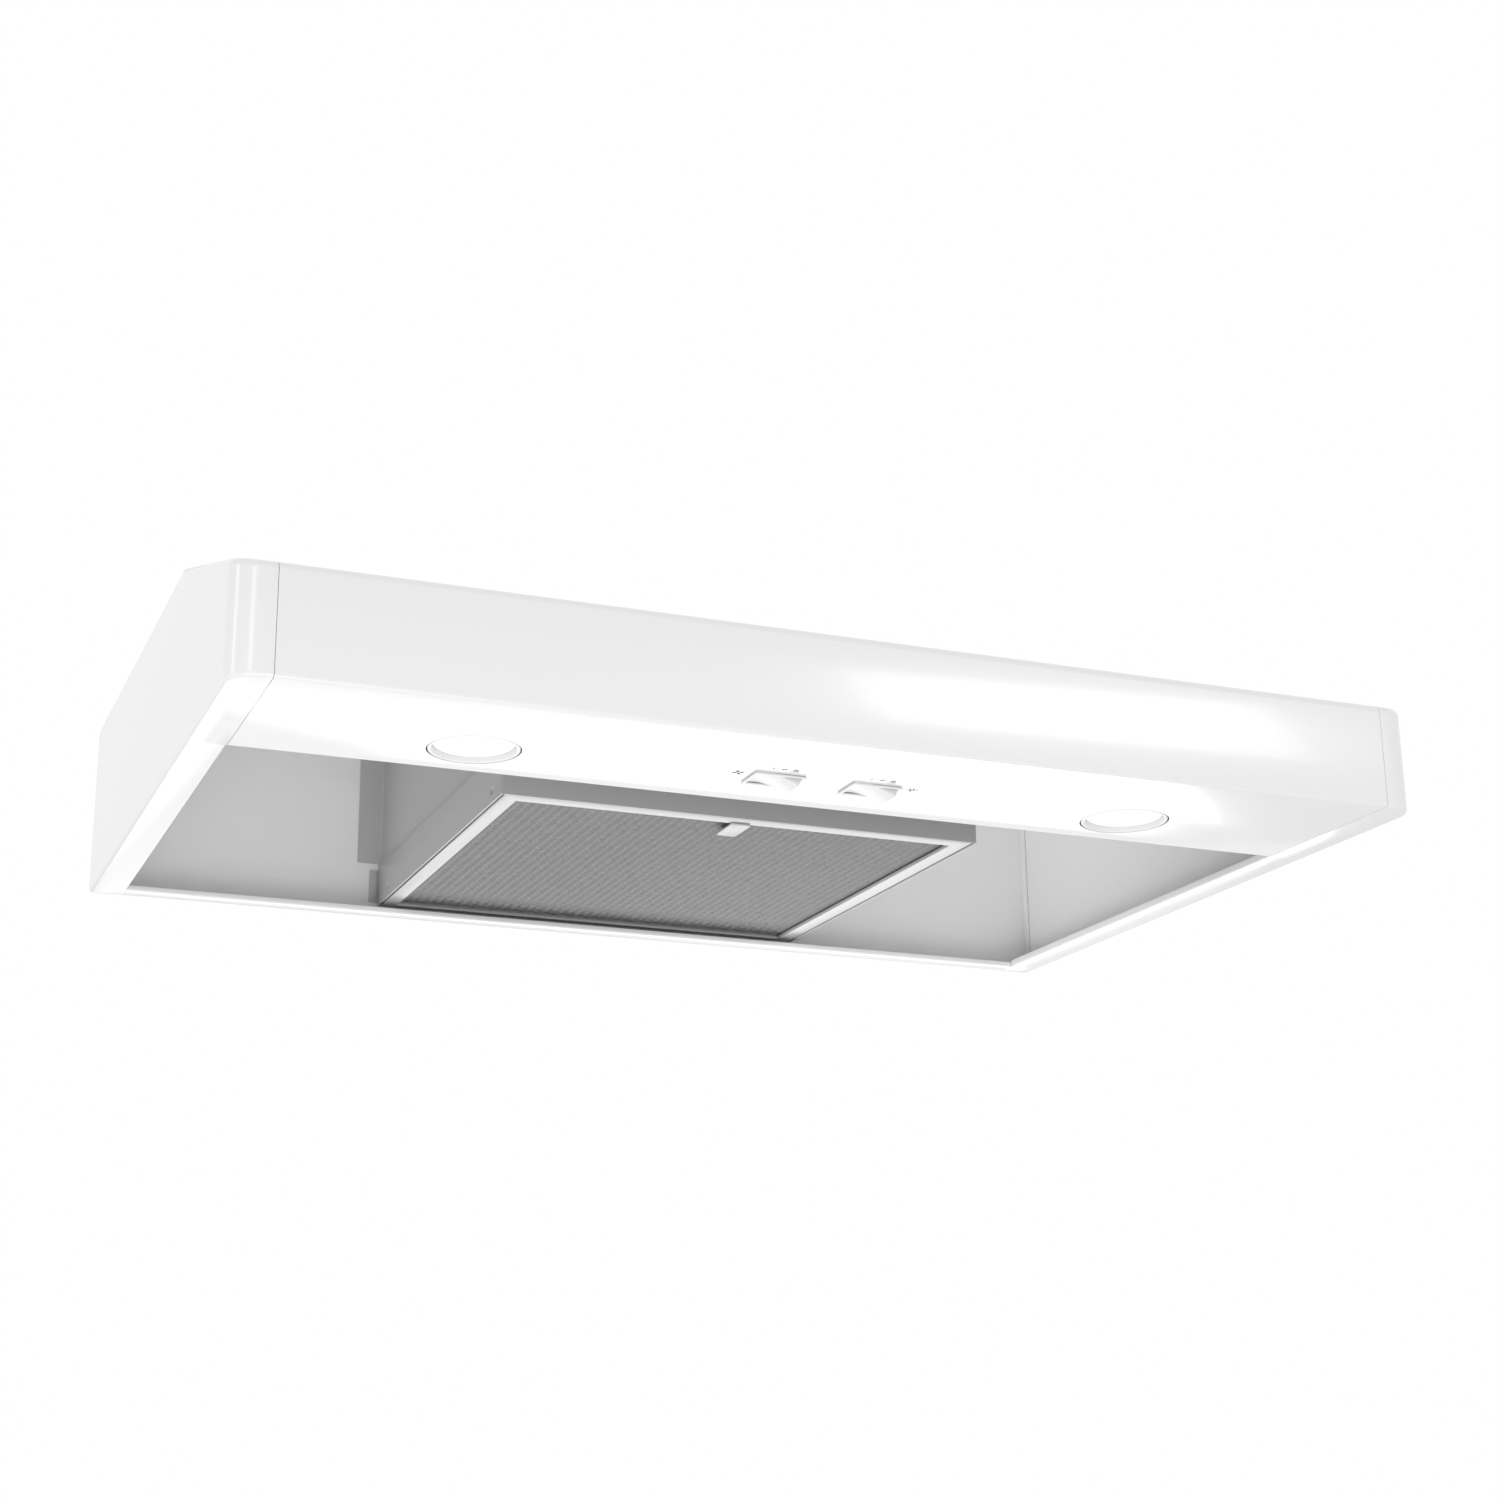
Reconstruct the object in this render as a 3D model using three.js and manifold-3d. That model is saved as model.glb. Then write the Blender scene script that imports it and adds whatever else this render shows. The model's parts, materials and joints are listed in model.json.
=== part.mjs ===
// An under cabinet range hood: a white steel canopy with a blower box, a lift-down grease filter,
// two recessed lamps and two rocker switches.
// Millimetres. +X is to the cook's right, +Y is towards the wall and +Z is up.
// The origin is the centre of the flat top, on the face that is screwed up under the cabinet.

import * as THREE from "three";
import { mergeVertices } from "three/addons/utils/BufferGeometryUtils.js";
import Module from "manifold-3d";

const wasm = await Module();
wasm.setup();

// ---- Driving dimensions ----

// Canopy
const hood_width = 759;
const hood_depth = 508;
const body_height = 124;
const nose_height = 66.4; // front face, before its bends
const slope_run = 171; // how far back the top slopes before it turns flat
const sheet = 0.9; // steel thickness
const gap = 0.3; // between pieces that touch
const corner_radius = 20; // upright front corners
const top_bend = 6;
const bottom_bend = 2.5;
const end_wrap = 24.3; // how far each end panel wraps onto the front, top and underside
const front_top_flange = 14; // front panel's turn onto the slope
const lip_depth = 129.2; // underside lip that holds the lamps and switches
const hem_height = 5;
const rear_flange = 16.3;
const rear_hem_height = 2;
const back_side_flange = 7;
const cover_flange = 5;

// Hanging slots and cable entry
const keyhole_span_x = 640;
const keyhole_span_y = 260;
const keyhole_head_radius = 6.5;
const keyhole_slot_radius = 3;
const keyhole_slot_length = 14;
const cable_entry_radius = 11;
const cable_entry = { x: 262, back: 222 };
const bushing_flange = 4;
const score = { margin: 1.5, width: 0.8, depth: 0.3 }; // lines pressed round the collar and the entry

// Filter skirt and air box
const skirt_width = 335.6;
const skirt_front = 193; // from the hood's front face
const skirt_rise = 8; // skirt's lower edge above the hood's lower edge
const skirt_height = 32;
const skirt_top_flange = 12;
const skirt_rear_flange = 6.5;
const air_box_step = 2.5; // air box stands in from the skirt
const air_box_flange = 18.5;

// Blower
const wheel_radius = 82;
const blade_length = 15;
const blade_count = 24;
const blade_angle = THREE.MathUtils.degToRad(35);
const blade_thickness = 1.2;
const wheel_height = 56;
const wheel_clearance = 8; // between the wheel and the orifice plate
const dish_radius = 45;
const dish_foot = 12; // wheel's dished back above its lower ring, at the hub
const wheel_rim = 1.5;
const hub_radius = 10;
const scroll_offset_x = -12;
const scroll_clearance = 7; // between the wheel and the scroll where it starts
const scroll_growth = 41;
const scroll_tongue = Math.PI / 3;
const inlet_inset = 18; // from the wheel's rim
const inlet_flare = 5;
const inlet_bend = 9; // height of the inlet's flare
const inlet_overlap = 3; // how far the inlet reaches into the wheel
const motor_radius = 38;
const motor_height = 36;
const shaft_radius = 4;
const motor_boss_radius = 18;
const motor_plate_radius = 60;
const motor_plate_thickness = 1.5;
const motor_bolt_inset = 9; // from the motor plate's rim
const motor_plate_drop = 12; // motor plate below the top panel
const capacitor_size = { half_x: 15, half_y: 9, height: 42, rise: 14, band: 12 };

// Duct collar and damper
const duct_width = 254;
const duct_depth = 82.6;
const duct_from_back = 12;
const collar_height = 38;
const collar_flange = 12;
const damper_height = 9; // flap's hinge above the top
const damper_clearance = 2;
const damper_rod_radius = 1.5;

// Grease filter
const filter_thickness = 9;
const filter_border = 11;
const filter_rear_border = 4;
const filter_sheet = 0.8;
const filter_side_clearance = 1.2;
const filter_rear_clearance = 4;
const filter_mesh_recess = 3;
const tab_width = 14;
const tab_length = 28;
const tab_thickness = 1.2;
const tab_from_filter_front = 8;
const spring_spacing = 200;
const spring_length = 34;
const spring_thickness = 0.5;

// Lamps
const lamp_spacing = 435;
const lamp_from_lip_edge = 14.2; // lamp hole to the lip's rear edge
const lamp_hole_radius = 28;
const lamp_ring_wall = 2.3;
const lamp_ring_height = 6;
const lamp_recess = 3;
const lamp_height = 47;
const lamp_neck_radius = 8.5;
const lamp_pin_length = 6;
const lamp_cup_height = 46;
const lamp_cup_clearance = 2; // between the lamp hole and its cup
const socket_radius = 14;
const socket_height = 16;

// Rocker switches
const switch_spacing = 64.5;
const switch_pair_x = 2.25;
const switch_from_front = 80;
const rocker_radius = 14.4;
const rocker_width = 18.8;
const rocker_pivot_height = 1;
const rocker_tilt = THREE.MathUtils.degToRad(12);
const rocker_rise = 5; // rocker's top above its pivot
const rocker_end_drop = 4.4; // rocker's ends below its pivot when level
const rocker_clearance = 0.3;
const switch_wall = 0.8;
const switch_height = 26;
const switch_blade = { length: 7, width: 4.8, thickness: 0.8, spacing: 8 };
const bezel_border = 1.8;
const bezel_height = 1.6;

// Wiring
const wiring_box = { from_air_box: 2.2, from_keyhole: 18, depth: 92, height: 56, behind_slope: 4 };
const loom_radius = 2.4;
const loom_height = 84; // above the hood's lower edge
const loom_from_front = 105;
const loom_hole_radius = 6;
const loom_hole_inset = 40; // from the wiring box's side
const branch_radius = 1.9;
const motor_cable_drop = 5; // below the top panel
const motor_cable_reach = 62; // in front of the wheel's centre
const motor_cable_hole_radius = 4.5;

// ---- Places worked out from them ----

const half_width = hood_width / 2;
const flat_depth = hood_depth - slope_run;
const front = -(flat_depth / 2 + slope_run);
const back = flat_depth / 2;
const base = -body_height;
const slope = Math.atan2(body_height - nose_height, slope_run);
const seam = half_width - end_wrap;
const far = 2000; // beyond the hood on any side

const inner_top = -sheet - gap;
const inner_back = back - sheet - gap;
const skirt_base = base + skirt_rise;
const skirt_top = skirt_base + skirt_height;
const skirt_y = front + skirt_front;
const box_half = skirt_width / 2 - air_box_step;
const box_y = skirt_y + air_box_step;
const plate_z = skirt_top + gap;
const plate_top = plate_z + sheet;

const inlet_radius = wheel_radius - inlet_inset;
const wheel_base = plate_top + wheel_clearance;
const wheel_top = wheel_base + wheel_height;
const scroll_start = wheel_radius + scroll_clearance;
const scroll_front_reach = scroll_start + scroll_growth * 0.7 + sheet;
const wheel_x = scroll_offset_x;
const wheel_y = box_y + sheet + scroll_front_reach + gap * 4;
const motor_plate_z = inner_top - motor_plate_drop;
const motor_foot = motor_plate_z - gap - motor_height;

const duct_rear = back - duct_from_back;
const duct_front = duct_rear - duct_depth;
const damper_y = duct_rear - sheet - damper_clearance - damper_rod_radius * 2;

const filter_half = skirt_width / 2 - sheet - filter_side_clearance;
const filter_front = skirt_y + sheet + filter_side_clearance;
const filter_rear = inner_back - sheet - filter_rear_clearance;
const filter_base = skirt_base;

const lamp_places = { left: -lamp_spacing / 2, right: lamp_spacing / 2 };
const lamp_y = front + lip_depth - lamp_from_lip_edge - lamp_hole_radius;
const lamp_base = base + lamp_recess;
const lamp_top = lamp_base + lamp_height;
const socket_top = lamp_top + gap + socket_height;
const switch_places = {
  fan: switch_pair_x - switch_spacing / 2,
  light: switch_pair_x + switch_spacing / 2,
};
const switch_y = front + switch_from_front;
const switch_half_x = rocker_radius + rocker_clearance + switch_wall;
const switch_half_y = rocker_width / 2 + rocker_clearance + switch_wall;
const switch_blade_top = base + switch_height + switch_blade.length;

const cover_y = front + lip_depth - sheet - gap;
const entry_y = front + cable_entry.back;
const box_left = box_half + air_box_flange + wiring_box.from_air_box;
const box_right = keyhole_span_x / 2 - wiring_box.from_keyhole;
const box_front = front + slope_run + wiring_box.behind_slope;
const box_rear = box_front + wiring_box.depth;
const box_foot = inner_top - wiring_box.height;
const loom_hole_x = box_left + loom_hole_inset;
const loom_y = front + loom_from_front;
const loom_z = base + loom_height;
const motor_cable_z = inner_top - motor_cable_drop;
const motor_cable_y = wheel_y - motor_cable_reach;

// ---- Shape helpers ----

// A closed geometry as a manifold solid, with its faces turned outwards.
function solidOf(geometry) {
  const bare = geometry.clone();
  bare.deleteAttribute("normal");
  bare.deleteAttribute("uv");
  const merged = mergeVertices(bare, 1e-4);
  const corners = merged.index.array;
  const triangles = [];
  for (let i = 0; i < corners.length; i += 3) {
    const [a, b, c] = [corners[i], corners[i + 1], corners[i + 2]];
    if (a !== b && b !== c && c !== a) triangles.push(a, b, c);
  }
  const make = (list) =>
    new wasm.Manifold(
      new wasm.Mesh({
        numProp: 3,
        vertProperties: merged.attributes.position.array,
        triVerts: new Uint32Array(list),
      }),
    );
  const solid = make(triangles);
  return solid.volume() > 0 ? solid : make(triangles.reverse());
}

function joined(solids) {
  return solids.reduce((sum, solid) => sum.add(solid));
}

function cutBy(solid, cutters) {
  return cutters.reduce((rest, cutter) => rest.subtract(cutter), solid);
}

function block([x0, x1], [y0, y1], [z0, z1]) {
  const [dx, dy, dz] = [x1 - x0, y1 - y0, z1 - z0].map(Math.abs);
  const box = new THREE.BoxGeometry(dx, dy, dz);
  return solidOf(box.translate((x0 + x1) / 2, (y0 + y1) / 2, (z0 + z1) / 2));
}

// Corners [u, v, bend radius] as an outline whose corners are rounded.
function outline(corners, steps = 5) {
  const points = [];
  corners.forEach(([u, v, radius], i) => {
    const here = new THREE.Vector2(u, v);
    if (!radius) {
      points.push(here);
      return;
    }
    const towards = (step) => {
      const [nu, nv] = corners.at((i + step) % corners.length);
      return new THREE.Vector2(nu, nv).sub(here).normalize();
    };
    const [before, after] = [towards(-1), towards(1)];
    const half = Math.acos(before.dot(after)) / 2;
    const middle = before.clone().add(after).setLength(radius / Math.sin(half)).add(here);
    const start = before.clone().multiplyScalar(radius / Math.tan(half)).add(here);
    const turn = Math.sign(after.cross(before)) * (Math.PI - 2 * half);
    for (let k = 0; k <= steps; k++) {
      points.push(start.clone().rotateAround(middle, (turn * k) / steps));
    }
  });
  return points;
}

function extruded(points, length, steps = 1) {
  return new THREE.ExtrudeGeometry(new THREE.Shape(points), {
    depth: length,
    steps,
    bevelEnabled: false,
  });
}

// An outline in X and Y, raised from z0 to z1.
function prismUp(points, z0, z1) {
  return solidOf(extruded(points, z1 - z0).translate(0, 0, z0));
}

// An outline in Y and Z, drawn out from x0 to x1.
function prismAcross(points, x0, x1) {
  const turned = new THREE.Matrix4().makeBasis(
    new THREE.Vector3(0, 1, 0),
    new THREE.Vector3(0, 0, 1),
    new THREE.Vector3(1, 0, 0),
  );
  return solidOf(extruded(points, x1 - x0).applyMatrix4(turned).translate(x0, 0, 0));
}

// An upright cylinder.
function rod(radius, x, y, z0, z1, sides = 20) {
  const cylinder = new THREE.CylinderGeometry(radius, radius, z1 - z0, sides);
  return solidOf(cylinder.rotateX(Math.PI / 2).translate(x, y, (z0 + z1) / 2));
}

// A cylinder along X.
function bar(radius, x0, x1, y, z, sides = 16) {
  const cylinder = new THREE.CylinderGeometry(radius, radius, x1 - x0, sides);
  return solidOf(cylinder.rotateZ(Math.PI / 2).translate((x0 + x1) / 2, y, z));
}

// A profile of [radius, z] turned about an upright axis.
function turned(profile, x, y, sides = 24) {
  const closed = [...profile, profile[0]];
  const points = closed.map(([radius, z]) => new THREE.Vector2(radius, z));
  return solidOf(new THREE.LatheGeometry(points, sides).rotateX(Math.PI / 2).translate(x, y, 0));
}

// A round cable along points.
function cable(points, radius, steps) {
  const path = new THREE.CatmullRomCurve3(points.map((point) => new THREE.Vector3(...point)));
  const section = new THREE.Shape().absarc(0, 0, radius, 0, Math.PI * 2);
  return solidOf(
    new THREE.ExtrudeGeometry(section, { steps, curveSegments: 4, extrudePath: path }),
  );
}

// ---- Finishes ----

const finishes = {
  enamel: { color: 0xf2f2f1, roughness: 0.25, metalness: 0 },
  inner_enamel: { color: 0xd9d8d8, roughness: 0.4, metalness: 0 },
  galvanised: { color: 0xb9bcbd, roughness: 0.45, metalness: 0.9 },
  aluminium: { color: 0xc4c4c4, roughness: 0.4, metalness: 0.9 },
  mesh: { color: 0x949494, roughness: 0.5, metalness: 0.8 },
  white_plastic: { color: 0xf0f0ee, roughness: 0.35, metalness: 0 },
  dark_plastic: { color: 0x2b2b2d, roughness: 0.5, metalness: 0 },
  rubber: { color: 0x1d1d1d, roughness: 0.8, metalness: 0 },
  steel: { color: 0x8d9093, roughness: 0.35, metalness: 1 },
  lens: { color: 0xfdfcf8, roughness: 0.2, metalness: 0 },
  ceramic: { color: 0xe9e4d8, roughness: 0.5, metalness: 0 },
  cable: { color: 0x3a3a3c, roughness: 0.5, metalness: 0 },
};

function piece(name, solid, finish) {
  const { vertProperties, triVerts } = solid.getMesh();
  const geometry = new THREE.BufferGeometry();
  geometry.setAttribute("position", new THREE.BufferAttribute(vertProperties, 3));
  geometry.setIndex(new THREE.BufferAttribute(triVerts, 1));
  geometry.computeVertexNormals();
  const mesh = new THREE.Mesh(geometry, new THREE.MeshStandardMaterial(finishes[finish]));
  mesh.name = name;
  return mesh;
}

// ---- Canopy ----

// Underside of the sloping top at a distance behind the front face, for a skin drawn in by inset.
function slopeHeight(run, inset) {
  return base + nose_height + run * Math.tan(slope) - inset / Math.cos(slope);
}

// The hood's whole outer form, drawn in on every side.
function bodyForm(inset) {
  const knee = (body_height - nose_height - inset + inset / Math.cos(slope)) / Math.tan(slope);
  const side = outline([
    [front + inset, base + inset, bottom_bend - inset],
    [back - inset, base + inset, 0],
    [back - inset, -inset, 0],
    [front + knee, -inset, 0],
    [front + inset, slopeHeight(inset, inset), top_bend - inset],
  ]);
  const plan = outline(
    [
      [-half_width + inset, front + inset, corner_radius - inset],
      [half_width - inset, front + inset, corner_radius - inset],
      [half_width - inset, back - inset, 0],
      [-half_width + inset, back - inset, 0],
    ],
    8,
  );
  return prismAcross(side, -half_width + inset, half_width - inset).intersect(
    prismUp(plan, base + inset, -inset),
  );
}

const skin = bodyForm(0).subtract(bodyForm(sheet));

// Space of the back panel, which the end and top panels leave free.
const back_panel_space = block(
  [-half_width + sheet, half_width - sheet],
  [inner_back, far],
  [-far, -sheet],
);

function endPanel(name, side) {
  const wrap = skin.intersect(block([side * seam, side * far], [-far, far], [-far, far]));
  const hem = block(
    [side * seam, side * (seam + sheet)],
    [front + lip_depth + gap, back - rear_flange - gap],
    [base, base + hem_height],
  );
  return piece(name, joined([wrap.subtract(back_panel_space), hem]), "enamel");
}

function lampHole(x, radius, z0, z1) {
  return rod(radius, x, lamp_y, z0, z1, 32);
}

function switchWindow(x, half_x, half_y, z0, z1) {
  return block([x - half_x, x + half_x], [switch_y - half_y, switch_y + half_y], [z0, z1]);
}

function frontPanel() {
  const reach = [-seam + gap, seam - gap];
  const face = block(reach, [-far, front + front_top_flange], [-far, far]);
  const lip = block(reach, [-far, front + lip_depth], [-far, base + bottom_bend]);
  const hem = block(
    reach,
    [front + lip_depth - sheet, front + lip_depth],
    [base, base + 2 * hem_height],
  );
  const holes = [
    ...Object.values(lamp_places).map((x) => lampHole(x, lamp_hole_radius, -far, base + sheet * 2)),
    ...Object.values(switch_places).map((x) =>
      switchWindow(x, switch_half_x + gap, switch_half_y + gap, -far, base + sheet * 2),
    ),
  ];
  return piece("front_panel", cutBy(joined([skin.intersect(face.add(lip)), hem]), holes), "enamel");
}

// A round hole for the screw's head, with a narrow slot that runs forward from it.
function keyhole(x, y) {
  const slot_end = y - keyhole_slot_length;
  return joined([
    rod(keyhole_head_radius, x, y, -far, far, 14),
    rod(keyhole_slot_radius, x, slot_end, -far, far, 10),
    block(
      [x - keyhole_slot_radius, x + keyhole_slot_radius],
      [slot_end, y],
      [-far, far],
    ),
  ]);
}

// Shallow lines round the collar's seat, open at the rear edge, and round the cable entry.
function scoreLines() {
  const seat = (grow) => {
    const reach = collar_flange + score.margin + grow;
    return block(
      [-duct_width / 2 - reach, duct_width / 2 + reach],
      [duct_front - reach, far],
      [-score.depth, far],
    );
  };
  const entry = (grow) => {
    const radius = cable_entry_radius + bushing_flange + score.margin + grow;
    return rod(radius, cable_entry.x, entry_y, -score.depth, far, 32);
  };
  return [seat, entry].map((line) => line(score.width).subtract(line(0)));
}

function topPanel() {
  const reach = [-seam + gap, seam - gap];
  const top_space = block(
    reach,
    [front + front_top_flange + gap, far],
    [base + nose_height / 2, far],
  );
  const holes = [
    back_panel_space,
    block([-duct_width / 2, duct_width / 2], [duct_front, duct_rear], [-far, far]),
    rod(cable_entry_radius, cable_entry.x, entry_y, -far, far, 20),
    ...scoreLines(),
  ];
  for (const side_x of [-0.5, 0.5]) {
    for (const side_y of [-0.5, 0.5]) {
      holes.push(keyhole(side_x * keyhole_span_x, side_y * keyhole_span_y));
    }
  }
  return piece("top_panel", cutBy(skin.intersect(top_space), holes), "enamel");
}

function backPanel() {
  const edge = half_width - sheet - gap;
  const wall = block([-edge, edge], [back - sheet, back], [base, inner_top]);
  const flange = block(
    [-seam + gap, seam - gap],
    [back - rear_flange, back],
    [base, base + sheet],
  );
  const hem = block(
    [-seam + gap, seam - gap],
    [back - rear_flange, back - rear_flange + sheet],
    [base, base + rear_hem_height],
  );
  const sides = [-1, 1].map((side) =>
    block(
      [side * (edge - sheet), side * edge],
      [back - back_side_flange, back],
      [base + 2 * hem_height, inner_top],
    ),
  );
  return piece("back_panel", joined([wall, flange, hem, ...sides]), "enamel");
}

// A wall from the lip's hem up to the slope, which shuts off the lamps and the switches.
function compartmentCover() {
  const edge = half_width - sheet - gap;
  const foot = base + sheet + gap;
  const run = cover_y - sheet - front;
  const head = slopeHeight(run, sheet) - gap;
  const wall = block([-edge, edge], [cover_y - sheet, cover_y], [foot, head]);
  const flange = block([-seam, seam], [cover_y - cover_flange, cover_y], [foot, foot + sheet]);
  const cover = wall.add(flange).subtract(loomHole(loom_hole_radius + 2));
  return piece("compartment_cover", cover, "inner_enamel");
}

function loomHole(radius) {
  const hole = new THREE.CylinderGeometry(radius, radius, 2 * (slope_run - lip_depth + 20), 20);
  return solidOf(hole.translate(loom_hole_x, cover_y, loom_z));
}

function loomGrommet() {
  const reach = 3;
  const ring = (radius, half) =>
    solidOf(
      new THREE.CylinderGeometry(radius, radius, 2 * half, 20).translate(
        loom_hole_x,
        cover_y - sheet / 2,
        loom_z,
      ),
    );
  const groove = ring(loom_hole_radius + 4, sheet / 2 + gap).subtract(
    ring(loom_hole_radius + 2 - gap, sheet),
  );
  const body = ring(loom_hole_radius + 3.5, reach - 0.6).subtract(groove);
  return piece("loom_grommet", body.subtract(ring(loom_hole_radius - 2, far)), "rubber");
}

// ---- Air path ----

function filterSkirt() {
  const half = skirt_width / 2;
  const outer = block([-half, half], [skirt_y, inner_back], [skirt_base, skirt_top]);
  const inside = block(
    [-half + sheet, half - sheet],
    [skirt_y + sheet, inner_back - sheet],
    [-far, skirt_top - sheet],
  );
  const mouth = block(
    [-half + skirt_top_flange, half - skirt_top_flange],
    [skirt_y + skirt_top_flange, inner_back - skirt_top_flange],
    [-far, far],
  );
  const flanges = [-1, 1].map((side) =>
    block(
      [side * (half - sheet), side * (half + skirt_rear_flange)],
      [inner_back - sheet, inner_back],
      [skirt_base + 3, skirt_top - 5],
    ),
  );
  const tray = cutBy(outer, [inside, mouth]);
  return piece("filter_skirt", joined([tray, ...flanges]), "inner_enamel");
}

// Two side walls and a front wall in one folded sheet, flanged outwards on the back panel.
function airBox() {
  const wall = (inset) => [
    [box_half - inset, inner_back - sheet + inset],
    [box_half - inset, box_y + inset],
    [-box_half + inset, box_y + inset],
    [-box_half + inset, inner_back - sheet + inset],
  ];
  const flange = skirt_width / 2 + air_box_flange - air_box_step;
  const plan = [
    [flange, inner_back],
    [flange, inner_back - sheet],
    ...wall(0),
    [-flange, inner_back - sheet],
    [-flange, inner_back],
    ...wall(sheet).reverse(),
  ].map(([x, y]) => new THREE.Vector2(x, y));
  const hat = prismUp(plan, skirt_top + gap, inner_top);
  return piece("air_box", hat.subtract(motorCableHole()), "inner_enamel");
}

function motorCableHole() {
  const hole = new THREE.CylinderGeometry(
    motor_cable_hole_radius,
    motor_cable_hole_radius,
    2 * half_width,
    16,
  ).rotateZ(Math.PI / 2);
  return solidOf(hole.translate(half_width + wheel_x, motor_cable_y, motor_cable_z));
}

function orificePlate() {
  const half = box_half - sheet - gap;
  const plate = block([-half, half], [box_y + sheet + gap, inner_back - gap], [plate_z, plate_top]);
  const mouth_top = wheel_base + inlet_overlap;
  const rim = inlet_radius + inlet_flare + 3;
  const lip = turned(
    [
      [inlet_radius + inlet_flare, plate_z],
      [inlet_radius + inlet_flare * 0.3, plate_z + inlet_bend * 0.44],
      [inlet_radius, plate_z + inlet_bend],
      [inlet_radius, mouth_top],
      [inlet_radius + sheet, mouth_top],
      [inlet_radius + sheet, plate_z + inlet_bend],
      [inlet_radius + inlet_flare * 0.52, plate_z + inlet_bend * 0.49],
      [rim, plate_z + sheet / 2],
      [rim, plate_z],
    ],
    wheel_x,
    wheel_y,
    28,
  );
  const hole = rod(inlet_radius + inlet_flare + 1, wheel_x, wheel_y, -far, far, 28);
  return piece("orifice_plate", plate.subtract(hole).add(lip), "galvanised");
}

// A spiral wall that widens round the wheel and then runs straight back to the outlet.
function scrollWall() {
  const turns = 28;
  const spiral = (extra, start) =>
    Array.from({ length: turns + 1 }, (_, i) => {
      const angle = start + ((2 * Math.PI - start) * i) / turns;
      const share = (angle - scroll_tongue) / (2 * Math.PI - scroll_tongue);
      const radius = scroll_start + scroll_growth * share + extra;
      return [radius * Math.cos(angle), radius * Math.sin(angle)];
    });
  const tongue_x = scroll_start * Math.cos(scroll_tongue);
  const outer_start = Math.acos((tongue_x - sheet) / (scroll_start + sheet));
  const mouth = scroll_start + 3;
  const right = scroll_start + scroll_growth;
  const plan = [
    [tongue_x, mouth],
    ...spiral(0, scroll_tongue),
    [right, mouth],
    [right + sheet, mouth],
    ...spiral(sheet, outer_start).reverse(),
    [tongue_x - sheet, mouth],
  ].map(([x, y]) => new THREE.Vector2(wheel_x + x, wheel_y + y));
  const wall = prismUp(plan, plate_top + gap, inner_top);
  return piece("scroll_wall", wall.subtract(motorCableHole()), "galvanised");
}

function ductCollar() {
  const half = duct_width / 2;
  const wall = block([-half, half], [duct_front, duct_rear], [gap, collar_height]);
  const flange = block(
    [-half - collar_flange, half + collar_flange],
    [duct_front - collar_flange, duct_rear + collar_flange - gap * 2],
    [gap, gap + sheet],
  );
  const way = block(
    [-half + sheet, half - sheet],
    [duct_front + sheet, duct_rear - sheet],
    [-far, far],
  );
  const stop = block(
    [-half + sheet / 2, half - sheet / 2],
    [duct_front + sheet / 2, duct_front + sheet + 4],
    [damper_height - damper_rod_radius - 2 * sheet, damper_height - damper_rod_radius - sheet],
  );
  const rod_hole = bar(damper_rod_radius + gap, -far, far, damper_y, damper_height);
  const collar = joined([wall.add(flange).subtract(way), stop]);
  return piece("duct_collar", collar.subtract(rod_hole), "galvanised");
}

function damperRod() {
  const reach = duct_width / 2 + 3;
  return piece("damper_rod", bar(damper_rod_radius, -reach, reach, damper_y, damper_height), "steel");
}

// The flap's rear edge is rolled round its rod, and its front edge rests on the collar's stop.
function damperFlap() {
  const half = duct_width / 2 - sheet - damper_clearance;
  const roll = bar(damper_rod_radius + gap + sheet, -half, half, damper_y, damper_height);
  const low = damper_height - damper_rod_radius - sheet + gap;
  const plate = block(
    [-half, half],
    [duct_front + sheet + damper_clearance, damper_y],
    [low, low + sheet],
  );
  const bore = bar(damper_rod_radius + gap, -far, far, damper_y, damper_height);
  return piece("damper_flap", cutBy(roll.add(plate), [bore]), "galvanised");
}

// ---- Blower ----

function blowerWheel() {
  const inner = wheel_radius - blade_length;
  const dish_z = wheel_base + dish_foot;
  const dish = turned(
    [
      [hub_radius, dish_z],
      [dish_radius - 4, dish_z + 2],
      [dish_radius, dish_z + 6],
      [dish_radius + 4, wheel_top - wheel_rim],
      [wheel_radius, wheel_top - wheel_rim],
      [wheel_radius, wheel_top],
      [dish_radius + 2.6, wheel_top],
      [dish_radius - 1.5, dish_z + 6.6],
      [dish_radius - 5, dish_z + 3.5],
      [hub_radius, dish_z + wheel_rim],
    ],
    wheel_x,
    wheel_y,
    30,
  );
  const ring = turned(
    [
      [inner + 1, wheel_base],
      [wheel_radius, wheel_base],
      [wheel_radius, wheel_base + wheel_rim],
      [inner + 1, wheel_base + wheel_rim],
    ],
    wheel_x,
    wheel_y,
    30,
  );
  const blades = Array.from({ length: blade_count }, (_, i) => {
    const plate = new THREE.BoxGeometry(blade_length, blade_thickness, wheel_height - 1);
    plate.rotateZ(blade_angle);
    plate.translate(wheel_radius - blade_length / 2, 0, (wheel_base + wheel_top) / 2);
    plate.rotateZ((2 * Math.PI * i) / blade_count);
    return solidOf(plate.translate(wheel_x, wheel_y, 0));
  });
  const rim = rod(wheel_radius, wheel_x, wheel_y, -far, far, 30);
  return piece("blower_wheel", joined([dish, ring, joined(blades).intersect(rim)]), "galvanised");
}

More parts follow.
